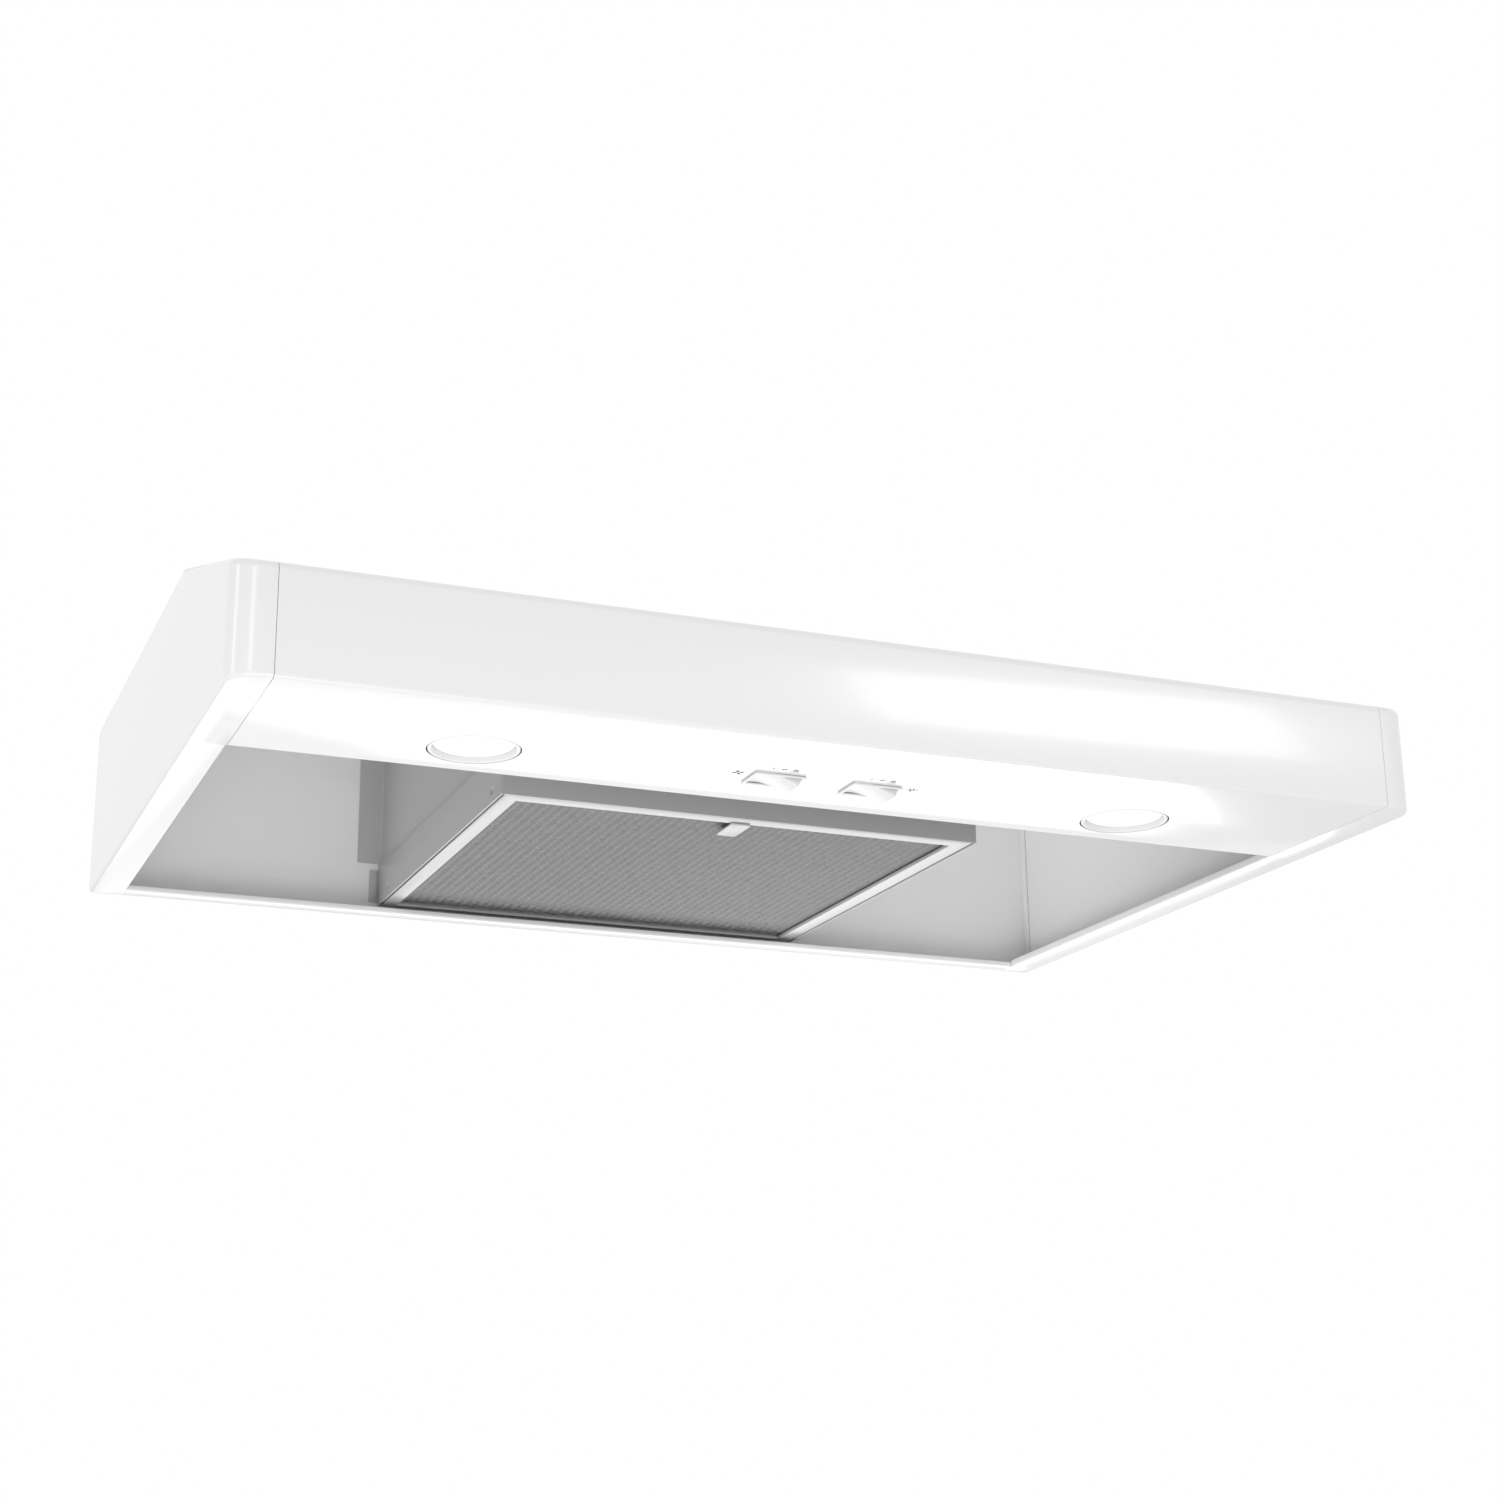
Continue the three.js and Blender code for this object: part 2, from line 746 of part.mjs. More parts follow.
function wheelHub() {
  const radius = hub_radius - gap;
  const bore = rod(shaft_radius + gap, wheel_x, wheel_y, -far, far, 16);
  const barrel = rod(radius, wheel_x, wheel_y, wheel_base + 4, wheel_base + 18, 24);
  const collar = rod(radius + 6, wheel_x, wheel_y, wheel_base + 9, wheel_base + 11, 24);
  return piece("wheel_hub", barrel.add(collar).subtract(bore), "aluminium");
}

function motorShaft() {
  const foot = wheel_base + 1;
  return piece(
    "motor_shaft",
    rod(shaft_radius, wheel_x, wheel_y, foot, motor_foot + 6, 16),
    "steel",
  );
}

function motorBody() {
  const top = motor_plate_z - gap;
  const profile = [
    [0, motor_foot + 7],
    [shaft_radius + 1, motor_foot + 7],
    [shaft_radius + 1, motor_foot - 3],
    [shaft_radius + 6, motor_foot - 3],
    [shaft_radius + 6, motor_foot],
    [motor_radius - 4, motor_foot],
    [motor_radius, motor_foot + 4],
    [motor_radius, top],
    [motor_boss_radius, top],
    [motor_boss_radius, top + 4],
    [0, top + 4],
  ];
  return piece("motor_body", turned(profile, wheel_x, wheel_y), "steel");
}

function aroundMotor(make) {
  return [0, 1, 2].map((i) => {
    const angle = Math.PI / 6 + (2 * Math.PI * i) / 3;
    const reach = motor_plate_radius - motor_bolt_inset;
    return make(i + 1, wheel_x + reach * Math.cos(angle), wheel_y + reach * Math.sin(angle));
  });
}

function motorPlate() {
  const top = motor_plate_z + motor_plate_thickness;
  const disc = rod(motor_plate_radius, wheel_x, wheel_y, motor_plate_z, top, 28);
  const bolts = aroundMotor((_, x, y) => rod(3, x, y, -far, far, 12));
  const centre = rod(motor_boss_radius + 2 * gap, wheel_x, wheel_y, -far, far);
  return piece("motor_plate", cutBy(disc, [centre, ...bolts]), "galvanised");
}

function motorMounts() {
  const foot = motor_plate_z + motor_plate_thickness + gap;
  return aroundMotor((number, x, y) => {
    const bushing = turned(
      [
        [3, foot],
        [8, foot],
        [6, (foot + inner_top) / 2],
        [8, inner_top],
        [3, inner_top],
      ],
      x,
      y,
      14,
    );
    const seat = motor_plate_z - gap;
    const shank = rod(2.2, x, y, seat - 1, inner_top, 12);
    const head = rod(4.5, x, y, seat - 3.2, seat, 12);
    return [
      piece("motor_bushing_" + number, bushing, "rubber"),
      piece("motor_screw_" + number, shank.add(head), "steel"),
    ];
  }).flat();
}

// A capacitor strapped upright in the air box's front left corner.
function capacitor() {
  const { half_x, half_y, height, rise, band: band_height } = capacitor_size;
  const [x, y] = [-box_half + sheet + half_x + 5, box_y + sheet + half_y + 3];
  const can = [
    [x - half_x, y - half_y, 4],
    [x + half_x, y - half_y, 4],
    [x + half_x, y + half_y, 4],
    [x - half_x, y + half_y, 4],
  ];
  const foot = plate_top + rise;
  const body = prismUp(outline(can, 3), foot, foot + height);
  const low = foot + (height - band_height) / 2;
  const high = low + band_height;
  const [snug_x, snug_y] = [half_x + gap, y + half_y + gap];
  const wall = box_y + sheet + gap;
  const band = block([x - snug_x - 1, x + snug_x + 1], [wall, snug_y + 1], [low, high]);
  const hollow = block([x - snug_x, x + snug_x], [-far, snug_y], [low - 1, high + 1]);
  const ears = block([x - half_x - 3, x + half_x + 9], [wall, wall + sheet], [low, high]);
  const strap = band.subtract(hollow).add(ears);
  return [piece("capacitor", body, "dark_plastic"), piece("capacitor_strap", strap, "galvanised")];
}

// ---- Grease filter ----

function filterFrame() {
  const ring = (inset, z0, z1, rear_inset = inset) =>
    block(
      [-filter_half + inset, filter_half - inset],
      [filter_front + inset, filter_rear - rear_inset],
      [z0, z1],
    );
  const top = filter_base + filter_thickness;
  const channel = cutBy(ring(0, filter_base, top), [
    ring(filter_sheet, filter_base + filter_sheet, top - filter_sheet),
    ring(filter_border, -far, far, filter_rear_border),
  ]);
  return piece("filter_frame", channel, "aluminium");
}

function filterMesh() {
  const inset = filter_sheet + gap;
  const pack = block(
    [-filter_half + inset, filter_half - inset],
    [filter_front + inset, filter_rear - inset],
    [filter_base + filter_mesh_recess, filter_base + filter_thickness - filter_sheet - gap],
  );
  return piece("filter_mesh", pack, "mesh");
}

function filterTab() {
  const y = filter_front + tab_from_filter_front;
  const top = filter_base - gap;
  const reach = [-tab_width / 2, tab_width / 2];
  const blade = block(reach, [y, y + tab_length], [top - tab_thickness, top]);
  return piece("filter_tab", blade, "aluminium");
}

// A bowed leaf between the skirt's rear wall and the filter.
function filterSpring(name, x) {
  const rear = inner_back - sheet - gap;
  const bow = filter_rear_clearance - 2 * gap - spring_thickness;
  const leaf = (lift) =>
    Array.from({ length: 9 }, (_, i) => {
      const share = i / 8;
      const depth = bow * Math.sin(Math.PI * share) ** 2;
      return new THREE.Vector2(x + spring_length * (share - 0.5), rear - depth - lift);
    });
  const plan = [...leaf(spring_thickness), ...leaf(0).reverse()];
  return piece(name, prismUp(plan, filter_base + 1.5, filter_base + 7.5), "steel");
}

// ---- Lamps ----

function lampParts(side, x) {
  const outer = lamp_hole_radius - gap;
  const ring = turned(
    [
      [outer - lamp_ring_wall, base],
      [outer, base],
      [outer, base + lamp_ring_height],
      [outer - lamp_ring_wall, base + lamp_ring_height],
    ],
    x,
    lamp_y,
    32,
  );
  const foot = base + sheet + gap;
  const head = base + lamp_cup_height;
  const cup_radius = lamp_hole_radius + lamp_cup_clearance;
  const cup = turned(
    [
      [cup_radius, foot],
      [cup_radius + 4, foot],
      [cup_radius + 4, foot + sheet],
      [cup_radius + sheet, foot + sheet],
      [cup_radius + sheet, head - 10],
      [cup_radius - 8, head],
      [lamp_neck_radius + 3, head],
      [lamp_neck_radius + 3, head - sheet],
      [cup_radius - 8.4, head - sheet],
      [cup_radius, head - 10.4],
    ],
    x,
    lamp_y,
  );
  const lens_radius = outer - lamp_ring_wall - 2 * gap;
  const bulb = turned(
    [
      [0, lamp_base],
      [lens_radius - 1, lamp_base],
      [lens_radius, lamp_base + 1],
      [lens_radius, lamp_base + 5],
      [lens_radius * 0.8, lamp_base + lamp_height * 0.4],
      [lamp_neck_radius + 2, lamp_base + lamp_height * 0.72],
      [lamp_neck_radius, lamp_base + lamp_height * 0.78],
      [lamp_neck_radius, lamp_top],
      [0, lamp_top],
    ],
    x,
    lamp_y,
  );
  const pins = [-5, 5].map((dx) =>
    rod(1.5, x + dx, lamp_y, lamp_top - 1, lamp_top + lamp_pin_length, 10),
  );
  const socket = rod(socket_radius, x, lamp_y, lamp_top + gap, socket_top).subtract(
    rod(lamp_neck_radius, x, lamp_y, -far, lamp_top + lamp_pin_length + 3),
  );
  return [
    piece("lamp_ring_" + side, ring, "white_plastic"),
    piece("lamp_cup_" + side, cup, "galvanised"),
    piece("lamp_" + side, joined([bulb, ...pins]), "lens"),
    piece("lamp_socket_" + side, socket, "ceramic"),
  ];
}

// ---- Rocker switches ----

function switchParts(job, x) {
  const pivot_z = base + rocker_pivot_height;
  const roof = base + switch_height;
  const cavity_top = pivot_z + rocker_radius * 0.62;
  const shell = switchWindow(x, switch_half_x, switch_half_y, base, roof).subtract(
    switchWindow(x, switch_half_x - switch_wall, switch_half_y - switch_wall, -far, cavity_top),
  );
  const { width, thickness, spacing } = switch_blade;
  const blades = [-spacing, 0, spacing].map((dx) =>
    block(
      [x + dx - width / 2, x + dx + width / 2],
      [switch_y - thickness / 2, switch_y + thickness / 2],
      [roof - 1, switch_blade_top],
    ),
  );
  const outer_x = switch_half_x + bezel_border / 2 + gap;
  const outer_y = switch_half_y + bezel_border;
  const bezel = switchWindow(x, outer_x, outer_y, base - bezel_height, base - gap).subtract(
    switchWindow(x, switch_half_x - switch_wall, switch_half_y - switch_wall, -far, far),
  );

  const drum = new THREE.CylinderGeometry(rocker_radius, rocker_radius, rocker_width, 40);
  const hollow_radius = rocker_radius * 3;
  const end_x = Math.sqrt(rocker_radius ** 2 - rocker_end_drop ** 2);
  const dish_z = -rocker_end_drop - Math.sqrt(hollow_radius ** 2 - end_x ** 2);
  const dish = new THREE.CylinderGeometry(hollow_radius, hollow_radius, rocker_width + 2, 96);
  const level = cutBy(solidOf(drum), [
    solidOf(dish.translate(0, 0, dish_z)),
    block([-far, far], [-far, far], [-far, dish_z]),
    block([-far, far], [-far, far], [rocker_rise, far]),
  ]);
  const rocker = piece("rocker_" + job, level, "white_plastic");
  rocker.position.set(x, switch_y, pivot_z);
  rocker.rotation.y = rocker_tilt;
  return [
    piece("switch_body_" + job, joined([shell, ...blades]), "dark_plastic"),
    piece("switch_bezel_" + job, bezel, "white_plastic"),
    rocker,
  ];
}

// ---- Wiring ----

function wiringBox() {
  const outer = block([box_left, box_right], [box_front, box_rear], [box_foot, inner_top]);
  const inside = block(
    [box_left + sheet, box_right - sheet],
    [box_front + sheet, box_rear - sheet],
    [-far, inner_top - sheet],
  );
  const entry = rod(cable_entry_radius, cable_entry.x, entry_y, -far, far, 20);
  const shell = cutBy(outer, [inside, entry, loomHole(loom_hole_radius + 2), motorCableHole()]);
  const cover_foot = box_foot - gap - sheet;
  const cover = block(
    [box_left - 4, box_right + 4],
    [box_front, box_rear + 4],
    [cover_foot, box_foot - gap],
  );
  const [screw_x, screw_y] = [box_right - 12, box_rear - 10];
  const screw = joined([
    rod(4.5, screw_x, screw_y, cover_foot - gap - 2.5, cover_foot - gap, 16),
    rod(2, screw_x, screw_y, cover_foot - gap - 1, box_foot + 6, 12),
  ]);
  const drilled = cover.subtract(rod(2 + gap, screw_x, screw_y, -far, far, 12));
  return [
    piece("wiring_box", shell, "galvanised"),
    piece("wiring_box_cover", drilled, "galvanised"),
    piece("wiring_box_screw", screw, "steel"),
  ];
}

function terminalBlock() {
  const [x, y] = [box_left + 40, box_rear - 24];
  const top = inner_top - sheet - gap;
  const body = block([x - 20, x + 20], [y - 9, y + 9], [top - 16, top]);
  const screws = [-12, 0, 12].map((dx) => rod(3, x + dx, y, top - 19, top - 15, 12));
  return piece("terminal_block", joined([body, ...screws]), "white_plastic");
}

// A round bushing that keeps the supply cable off the knock-out's edge.
function cableBushing() {
  const barrel = cable_entry_radius - gap;
  return piece(
    "cable_bushing",
    turned(
      [
        [7, -10],
        [barrel, -10],
        [barrel, gap],
        [barrel + bushing_flange, gap],
        [barrel + bushing_flange, 3],
        [7, 3],
      ],
      cable_entry.x,
      entry_y,
      24,
    ),
    "dark_plastic",
  );
}

// One loom along the front compartment, with a branch to each lamp and switch.
function wiringLoom() {
  const branch = (x, y, foot, side) =>
    cable(
      [
        [x, y, foot],
        [x, y, foot + (loom_z - foot) * 0.5],
        [x + side * 6, loom_y - 4, loom_z - 1],
        [x + side * 14, loom_y, loom_z],
      ],
      branch_radius,
      6,
    );
  const trunk_end = loom_hole_x - 18;
  const trunk = cable(
    [
      [lamp_places.left + 8, loom_y, loom_z],
      [-100, loom_y, loom_z],
      [100, loom_y, loom_z],
      [trunk_end, loom_y, loom_z],
      [loom_hole_x - 2, loom_y + 8, loom_z],
      [loom_hole_x, cover_y, loom_z],
      [loom_hole_x, box_front + 10, loom_z],
      [loom_hole_x - 3, box_rear - 36, inner_top - 22],
    ],
    loom_radius,
    20,
  );
  const branches = [
    branch(lamp_places.left, lamp_y, socket_top + 1, 1),
    branch(lamp_places.right, lamp_y, socket_top + 1, -1),
    ...Object.values(switch_places).map((x) => branch(x, switch_y, switch_blade_top + 1, 1)),
  ];
  return piece("wiring_loom", joined([trunk, ...branches]), "cable");
}

function motorCable() {
  const end = wheel_x + motor_boss_radius + gap * 2;
  return piece(
    "motor_cable",
    cable(
      [
        [end, wheel_y - 2, motor_cable_z - 1],
        [end + 20, wheel_y - 20, motor_cable_z],
        [end + 56, motor_cable_y, motor_cable_z],
        [end + 110, motor_cable_y, motor_cable_z],
        [box_half, motor_cable_y, motor_cable_z],
        [box_left + 12, motor_cable_y, motor_cable_z],
      ],
      branch_radius,
      14,
    ),
    "cable",
  );
}

// ---- The whole hood ----

function group(name, meshes) {
  const made = new THREE.Group();
  made.name = name;
  made.add(...meshes.flat());
  return made;
}

const hood = group("range_hood", [
  group("canopy", [
    frontPanel(),
    topPanel(),
    backPanel(),
    endPanel("left_end_panel", -1),
    endPanel("right_end_panel", 1),
    compartmentCover(),
  ]),
  group("air_path", [
    filterSkirt(),
    airBox(),
    orificePlate(),
    scrollWall(),
    ductCollar(),
    damperRod(),
    damperFlap(),
  ]),
  group("blower", [
    blowerWheel(),
    wheelHub(),
    motorShaft(),
    motorBody(),
    motorPlate(),
    motorMounts(),
    capacitor(),
  ]),
  group("grease_filter", [
    filterFrame(),
    filterMesh(),
    filterTab(),
    filterSpring("filter_spring_left", -spring_spacing / 2),
    filterSpring("filter_spring_right", spring_spacing / 2),
  ]),
  group("lamps", Object.entries(lamp_places).map(([side, x]) => lampParts(side, x)).flat()),
  group("switches", Object.entries(switch_places).map(([job, x]) => switchParts(job, x)).flat()),
  group("wiring", [
    wiringBox(),
    terminalBlock(),
    cableBushing(),
    loomGrommet(),
    wiringLoom(),
    motorCable(),
  ]),
]);

export default hood;
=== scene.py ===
"""Finished surfaces of an under cabinet range hood, built round its engineering frame.

Lengths are metres. +X is to the cook's right, +Y is towards the wall and +Z is up. The origin is the
centre of the flat top. Folded sheets are drawn as single surfaces, rounded at their folds, and then given
their thickness inwards.
"""

import json
import math

import bmesh
import bpy
from bpy.props import FloatProperty, FloatVectorProperty, PointerProperty
from mathutils import Matrix, Vector


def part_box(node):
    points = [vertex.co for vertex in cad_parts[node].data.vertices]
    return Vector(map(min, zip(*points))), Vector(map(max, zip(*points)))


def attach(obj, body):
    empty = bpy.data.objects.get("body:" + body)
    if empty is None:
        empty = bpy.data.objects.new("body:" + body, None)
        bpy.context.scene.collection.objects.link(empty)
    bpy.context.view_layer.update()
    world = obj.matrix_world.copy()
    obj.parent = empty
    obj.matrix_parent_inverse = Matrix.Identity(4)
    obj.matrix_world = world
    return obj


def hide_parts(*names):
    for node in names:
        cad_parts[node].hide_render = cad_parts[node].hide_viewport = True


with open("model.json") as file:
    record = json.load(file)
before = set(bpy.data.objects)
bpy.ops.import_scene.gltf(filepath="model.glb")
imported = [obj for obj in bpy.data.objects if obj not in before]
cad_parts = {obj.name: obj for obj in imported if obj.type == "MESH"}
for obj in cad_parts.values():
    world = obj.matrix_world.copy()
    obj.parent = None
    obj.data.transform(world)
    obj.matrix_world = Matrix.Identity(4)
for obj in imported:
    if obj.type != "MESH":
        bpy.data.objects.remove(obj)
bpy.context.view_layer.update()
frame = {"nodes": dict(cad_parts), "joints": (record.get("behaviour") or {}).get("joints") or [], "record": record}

bl_info = {
    "name": "Under cabinet range hood",
    "version": (1, 0, 0),
    "blender": (4, 5, 0),
    "location": "3D View > Sidebar > Range hood",
    "description": "Panels, filter, lamps, switches and blower of an under cabinet range hood",
    "category": "Add Mesh",
}

FLOOR_REACH = 9
# Points nearer than NEAR are one point, and a face nearer than IN_PLANE to a plane lies in it.
NEAR = 1e-6
IN_PLANE = 1e-4
# Edges stay crisp over SHARP degrees. RIGHT_ANGLES is the least angle, in radians, of a square edge.
SHARP = 30
RIGHT_ANGLES = 1.2
UPRIGHT = Matrix()
ALONG_X = Matrix.Rotation(math.pi / 2, 4, "Y")


# ---- Places that the frame gives ----


def middle_of(node):
    low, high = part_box(node)
    return (low + high) / 2


END_LOW, END_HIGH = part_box("right_end_panel")
HALF = END_HIGH.x
SEAM = END_LOW.x
FRONT = END_LOW.y
BACK = END_HIGH.y
BASE = END_LOW.z
TOP = END_HIGH.z
LAMP_X, LAMP_Y = middle_of("lamp_right").xy


# ---- Settings ----


def length(name, description, default):
    return FloatProperty(
        name=name, description=description, default=default, min=0.0, unit="LENGTH", precision=5
    )


def colour(name, description, default):
    return FloatVectorProperty(
        name=name, description=description, default=default, size=3, min=0, max=1, subtype="COLOR"
    )


def power(name, description, default):
    return FloatProperty(name=name, description=description, default=default, min=0, unit="POWER")


def ratio(name, description, default):
    return FloatProperty(name=name, description=description, default=default, min=0)


class HoodCanopySizes(bpy.types.PropertyGroup):
    """Sizes of the folded steel canopy"""

    nose_height: length("Nose height", "Height of the front face before its bends", 0.0664)
    slope_run: length("Slope run", "How far back the top slopes before it turns flat", 0.171)
    sheet: length("Sheet", "Steel thickness", 0.0009)
    gap: length("Gap", "Clearance between pieces that touch", 0.0003)
    corner_radius: length("Corner radius", "Radius of the upright front corners", 0.020)
    top_bend: length("Top bend", "Setback of the bend between the walls and the top", 0.0043)
    bottom_bend: length("Bottom bend", "Setback of the bend between the walls and the underside", 0.0026)
    fold: length("Fold", "Radius of a tight fold in the sheet", 0.0012)
    front_flange: length("Front flange", "Front panel's turn onto the slope", 0.014)
    lip_depth: length("Lip depth", "Underside lip from the front face to its hem", 0.1292)
    hem: length("Hem", "Height of the upturned hem round the opening", 0.005)
    rear_flange: length("Rear flange", "Depth of the back panel's lower flange", 0.0163)
    rear_hem: length("Rear hem", "Height of the lower flange's front edge", 0.0035)
    side_flange: length("Side flange", "Width of the back panel's side flanges", 0.007)
    collar_flange: length("Collar flange", "Duct collar's flange on the top", 0.012)
    cable_radius: length("Cable", "Radius of the motor's cable", 0.0019)
    cable_hole: length("Cable hole", "Radius of the motor cable's hole", 0.0045)
    entry_radius: length("Cable entry", "Radius of the supply cable's knock-out", 0.011)
    keyhole_x: length("Keyhole side", "Keyhole slots from the middle, to each side", 0.32)
    keyhole_y: length("Keyhole depth", "Keyhole slots from the middle, to the front and back", 0.13)
    keyhole_radius: length("Keyhole radius", "Round end of a keyhole slot", 0.0065)
    keyhole_slot: length("Keyhole slot", "Half width of a keyhole's slot", 0.003)
    keyhole_run: length("Keyhole run", "Length of a keyhole's slot", 0.014)
    score_margin: length("Score margin", "Scored line outside the piece it runs round", 0.0015)
    score_width: length("Score width", "Width of a scored line", 0.0008)
    score_depth: length("Score depth", "Depth of a scored line", 0.0003)
    skirt_clearance: length("Skirt clearance", "Skirt's outer walls outside the filter's frame", 0.0021)
    skirt_flange: length("Skirt flange", "Flange turned in round the top of the skirt", 0.012)
    air_box_inset: length("Air box inset", "Air box walls inside the skirt's", 0.0025)
    air_box_fold: length("Air box fold", "Radius of the air box's folds", 0.0018)


class HoodFilterSizes(bpy.types.PropertyGroup):
    """Sizes of the grease filter"""

    border: length("Border", "Width of the frame seen from below", 0.011)
    rear_border: length("Rear border", "Width of the frame's rear edge, over the hood's rear flange", 0.0015)
    side_gap: length("Side gap", "Extra shadow gap between the frame and the skirt's sides", 0.0007)
    channel: length("Channel", "Thickness of the frame's folded sheet", 0.0006)
    rim: length("Rim", "Return of the frame's inner edge towards the mesh", 0.0026)
    pitch_across: length("Pitch across", "Distance between rows of mesh holes from side to side", 0.0064)
    pitch_deep: length("Pitch deep", "Distance between mesh holes from front to back", 0.0077)
    hole: length("Hole", "Half width of a mesh hole", 0.0029)
    strand_lift: length("Strand lift", "How far the strands of the mesh tilt out of flat", 0.0011)
    strand: length("Strand", "Thickness of the mesh", 0.0004)
    grip: length("Grip", "How far the mesh reaches into the frame's channel", 0.004)
    recess: length("Recess", "Face mesh above the frame's lower face", 0.0038)
    hole_ratio: ratio("Hole ratio", "A mesh hole's depth over its width", 0.76)
    top_share: ratio("Top share", "Frame's top over its lower border", 0.8)
    top_rim: length("Top rim", "Return of the frame's top towards the mesh", 0.00104)
    channel_fold: length("Channel fold", "Radius of the frame's folds", 0.0007)
    ridge_pitch: length("Ridge pitch", "Distance between ridges of the inner layers", 0.0055)
    ridge_foot: length("Ridge foot", "Lowest place of the inner layers above the face mesh", 0.0018)
    ridge_top: length("Ridge top", "Highest place of the inner layers above the face mesh", 0.0032)
    tab_corner: length("Tab corner", "Radius of the finger tab's corners", 0.0022)
    tab_edge: length("Tab edge", "Rounding of the finger tab's edges", 0.0003)


class HoodFittingSizes(bpy.types.PropertyGroup):
    """Sizes of the lamps, the switches and their printed marks"""

    lamp_hole: length("Lamp hole", "Radius of the lamp holes", 0.0283)
    ring_gap: length("Ring gap", "Shadow gap round a lamp's trim ring", 0.0008)
    ring_wall: length("Ring wall", "Wall of a lamp's trim ring", 0.0024)
    window_x: length("Switch window", "Half width of a switch's hole", 0.0158)
    window_y: length("Switch window depth", "Half depth of a switch's hole", 0.0108)
    rocker_radius: length("Rocker radius", "Radius of a rocker's ends about its pivot", 0.0143)
    rocker_half: length("Rocker half width", "Half of a rocker's width", 0.0094)
    rocker_gap: length("Rocker gap", "Clearance between a rocker and its bezel", 0.0003)
    rocker_slot: length("Rocker slot", "Wider clearance along a rocker's front side", 0.0011)
    rocker_rise: length("Rocker rise", "Rocker's top above its pivot", 0.005)
    rocker_drop: length("Rocker drop", "Rocker's ends below its pivot when level", 0.0044)
    mark_height: length("Mark height", "Height of the printed position marks", 0.0032)
    mark_stroke: length("Mark stroke", "Stroke width of the printed marks", 0.0008)
    symbol_radius: length("Symbol radius", "Radius of the fan and lamp symbols", 0.0036)
    bezel_corner: length("Bezel corner", "Radius of a bezel's corners", 0.0007)
    bezel_edge: length("Bezel edge", "Rounding of a bezel's edges", 0.0004)
    rocker_edge: length("Rocker edge", "Rounding of a rocker's edges", 0.0006)
    rocker_dish: length("Rocker dish", "Radius of a rocker's dished face", 0.0429)
    rocker_tilt: FloatProperty(
        name="Rocker tilt",
        description="A rocker's tilt at its stop",
        default=math.radians(12),
        unit="ROTATION",
    )


class HoodColours(bpy.types.PropertyGroup):
    """Colours of the finishes"""

    enamel: colour("Enamel", "Baked enamel of the panels", (0.86, 0.86, 0.857))
    inner: colour("Inner enamel", "Enamel of the inner panels", (0.50, 0.497, 0.497))
    zinc: colour("Galvanised steel", "Zinc coat of the hidden sheet parts", (0.60, 0.62, 0.63))
    steel: colour("Steel", "Turned and plated steel", (0.42, 0.43, 0.44))
    aluminium: colour("Aluminium", "Filter frame and hub", (0.64, 0.64, 0.64))
    mesh: colour("Filter mesh", "Expanded aluminium mesh", (0.325, 0.321, 0.321))
    # Painted shade: the inner layers are coloured near black so that the face mesh's holes read as shade.
    layers: colour("Inner layers", "The filter's layers behind its face mesh", (0.035, 0.035, 0.036))
    plastic: colour("White plastic", "Rockers, bezels and lamp rings", (0.86, 0.86, 0.85))
    dark: colour("Dark plastic", "Switch bodies, bushing and capacitor", (0.03, 0.03, 0.033))
    rubber: colour("Rubber", "Motor bushings and grommet", (0.018, 0.018, 0.018))
    sheath: colour("Sheath", "Cable sheath", (0.05, 0.05, 0.055))
    lens: colour("Lens", "Frosted lamp lens", (0.9, 0.9, 0.89))
    ceramic: colour("Ceramic", "Lamp sockets", (0.78, 0.75, 0.68))
    print: colour("Print", "Printed marks", (0.05, 0.05, 0.053))
    floor: colour("Floor", "Studio floor", (0.85, 0.85, 0.85))


class HoodStageSettings(bpy.types.PropertyGroup):
    """Lamps, floor and background of the studio"""

    sky: ratio("Sky", "Level of the even light from all round", 0.765)
    key: power("Key", "Soft light in front, to the right", 7.5)
    under: power("Under", "Low soft light below the hood", 12.5)
    strip: power("Strip", "Tall soft strip in front, to the left", 5.4)
    fill: power("Fill", "Tall soft strip to the left", 4.6)
    inside: power("Inside", "Small light up into the right-hand side of the canopy", 0.1)
    sheen: power("Sheen", "Low strip behind, mirrored in the underside lip", 9)
    floor_drop: length("Floor drop", "Floor below the hood's top", 1.65)


def settings(group):
    return getattr(bpy.context.scene, "hood_" + group)


# ---- Mesh helpers ----


def object_from(bm, name):
    """Puts an object made of a bmesh into the scene."""
    mesh = bpy.data.meshes.new(name)
    bm.to_mesh(mesh)
    bm.free()
    made = bpy.data.objects.new(name, mesh)
    bpy.context.scene.collection.objects.link(made)
    return made


def piece_from(bm, name, body, slot, replaces=(), finish_slot=None, sharp=SHARP, solidify=0.0):
    """Makes a piece of a bmesh, gives it its thickness and its finish, and sets it on its body."""
    bmesh.ops.remove_doubles(bm, verts=bm.verts, dist=NEAR)
    piece = object_from(bm, name)
    if solidify:
        wall = piece.modifiers.new("Sheet thickness", "SOLIDIFY")
        wall.thickness = solidify
        wall.offset = -1
        wall.use_even_offset = True
        wall.use_quality_normals = True
        settle(piece)
    soften(piece, sharp)
    piece.data.materials.append(material(finish_slot or slot))
    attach(piece, body)
    if replaces:
        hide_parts(*replaces)
    return piece


def settle(piece):
    """Turns a piece's modifiers into its own mesh."""
    bpy.context.view_layer.update()
    graph = bpy.context.evaluated_depsgraph_get()
    made = bpy.data.meshes.new_from_object(piece.evaluated_get(graph))
    drawn = piece.data
    piece.modifiers.clear()
    piece.data = made
    bpy.data.meshes.remove(drawn)
    made.name = piece.name


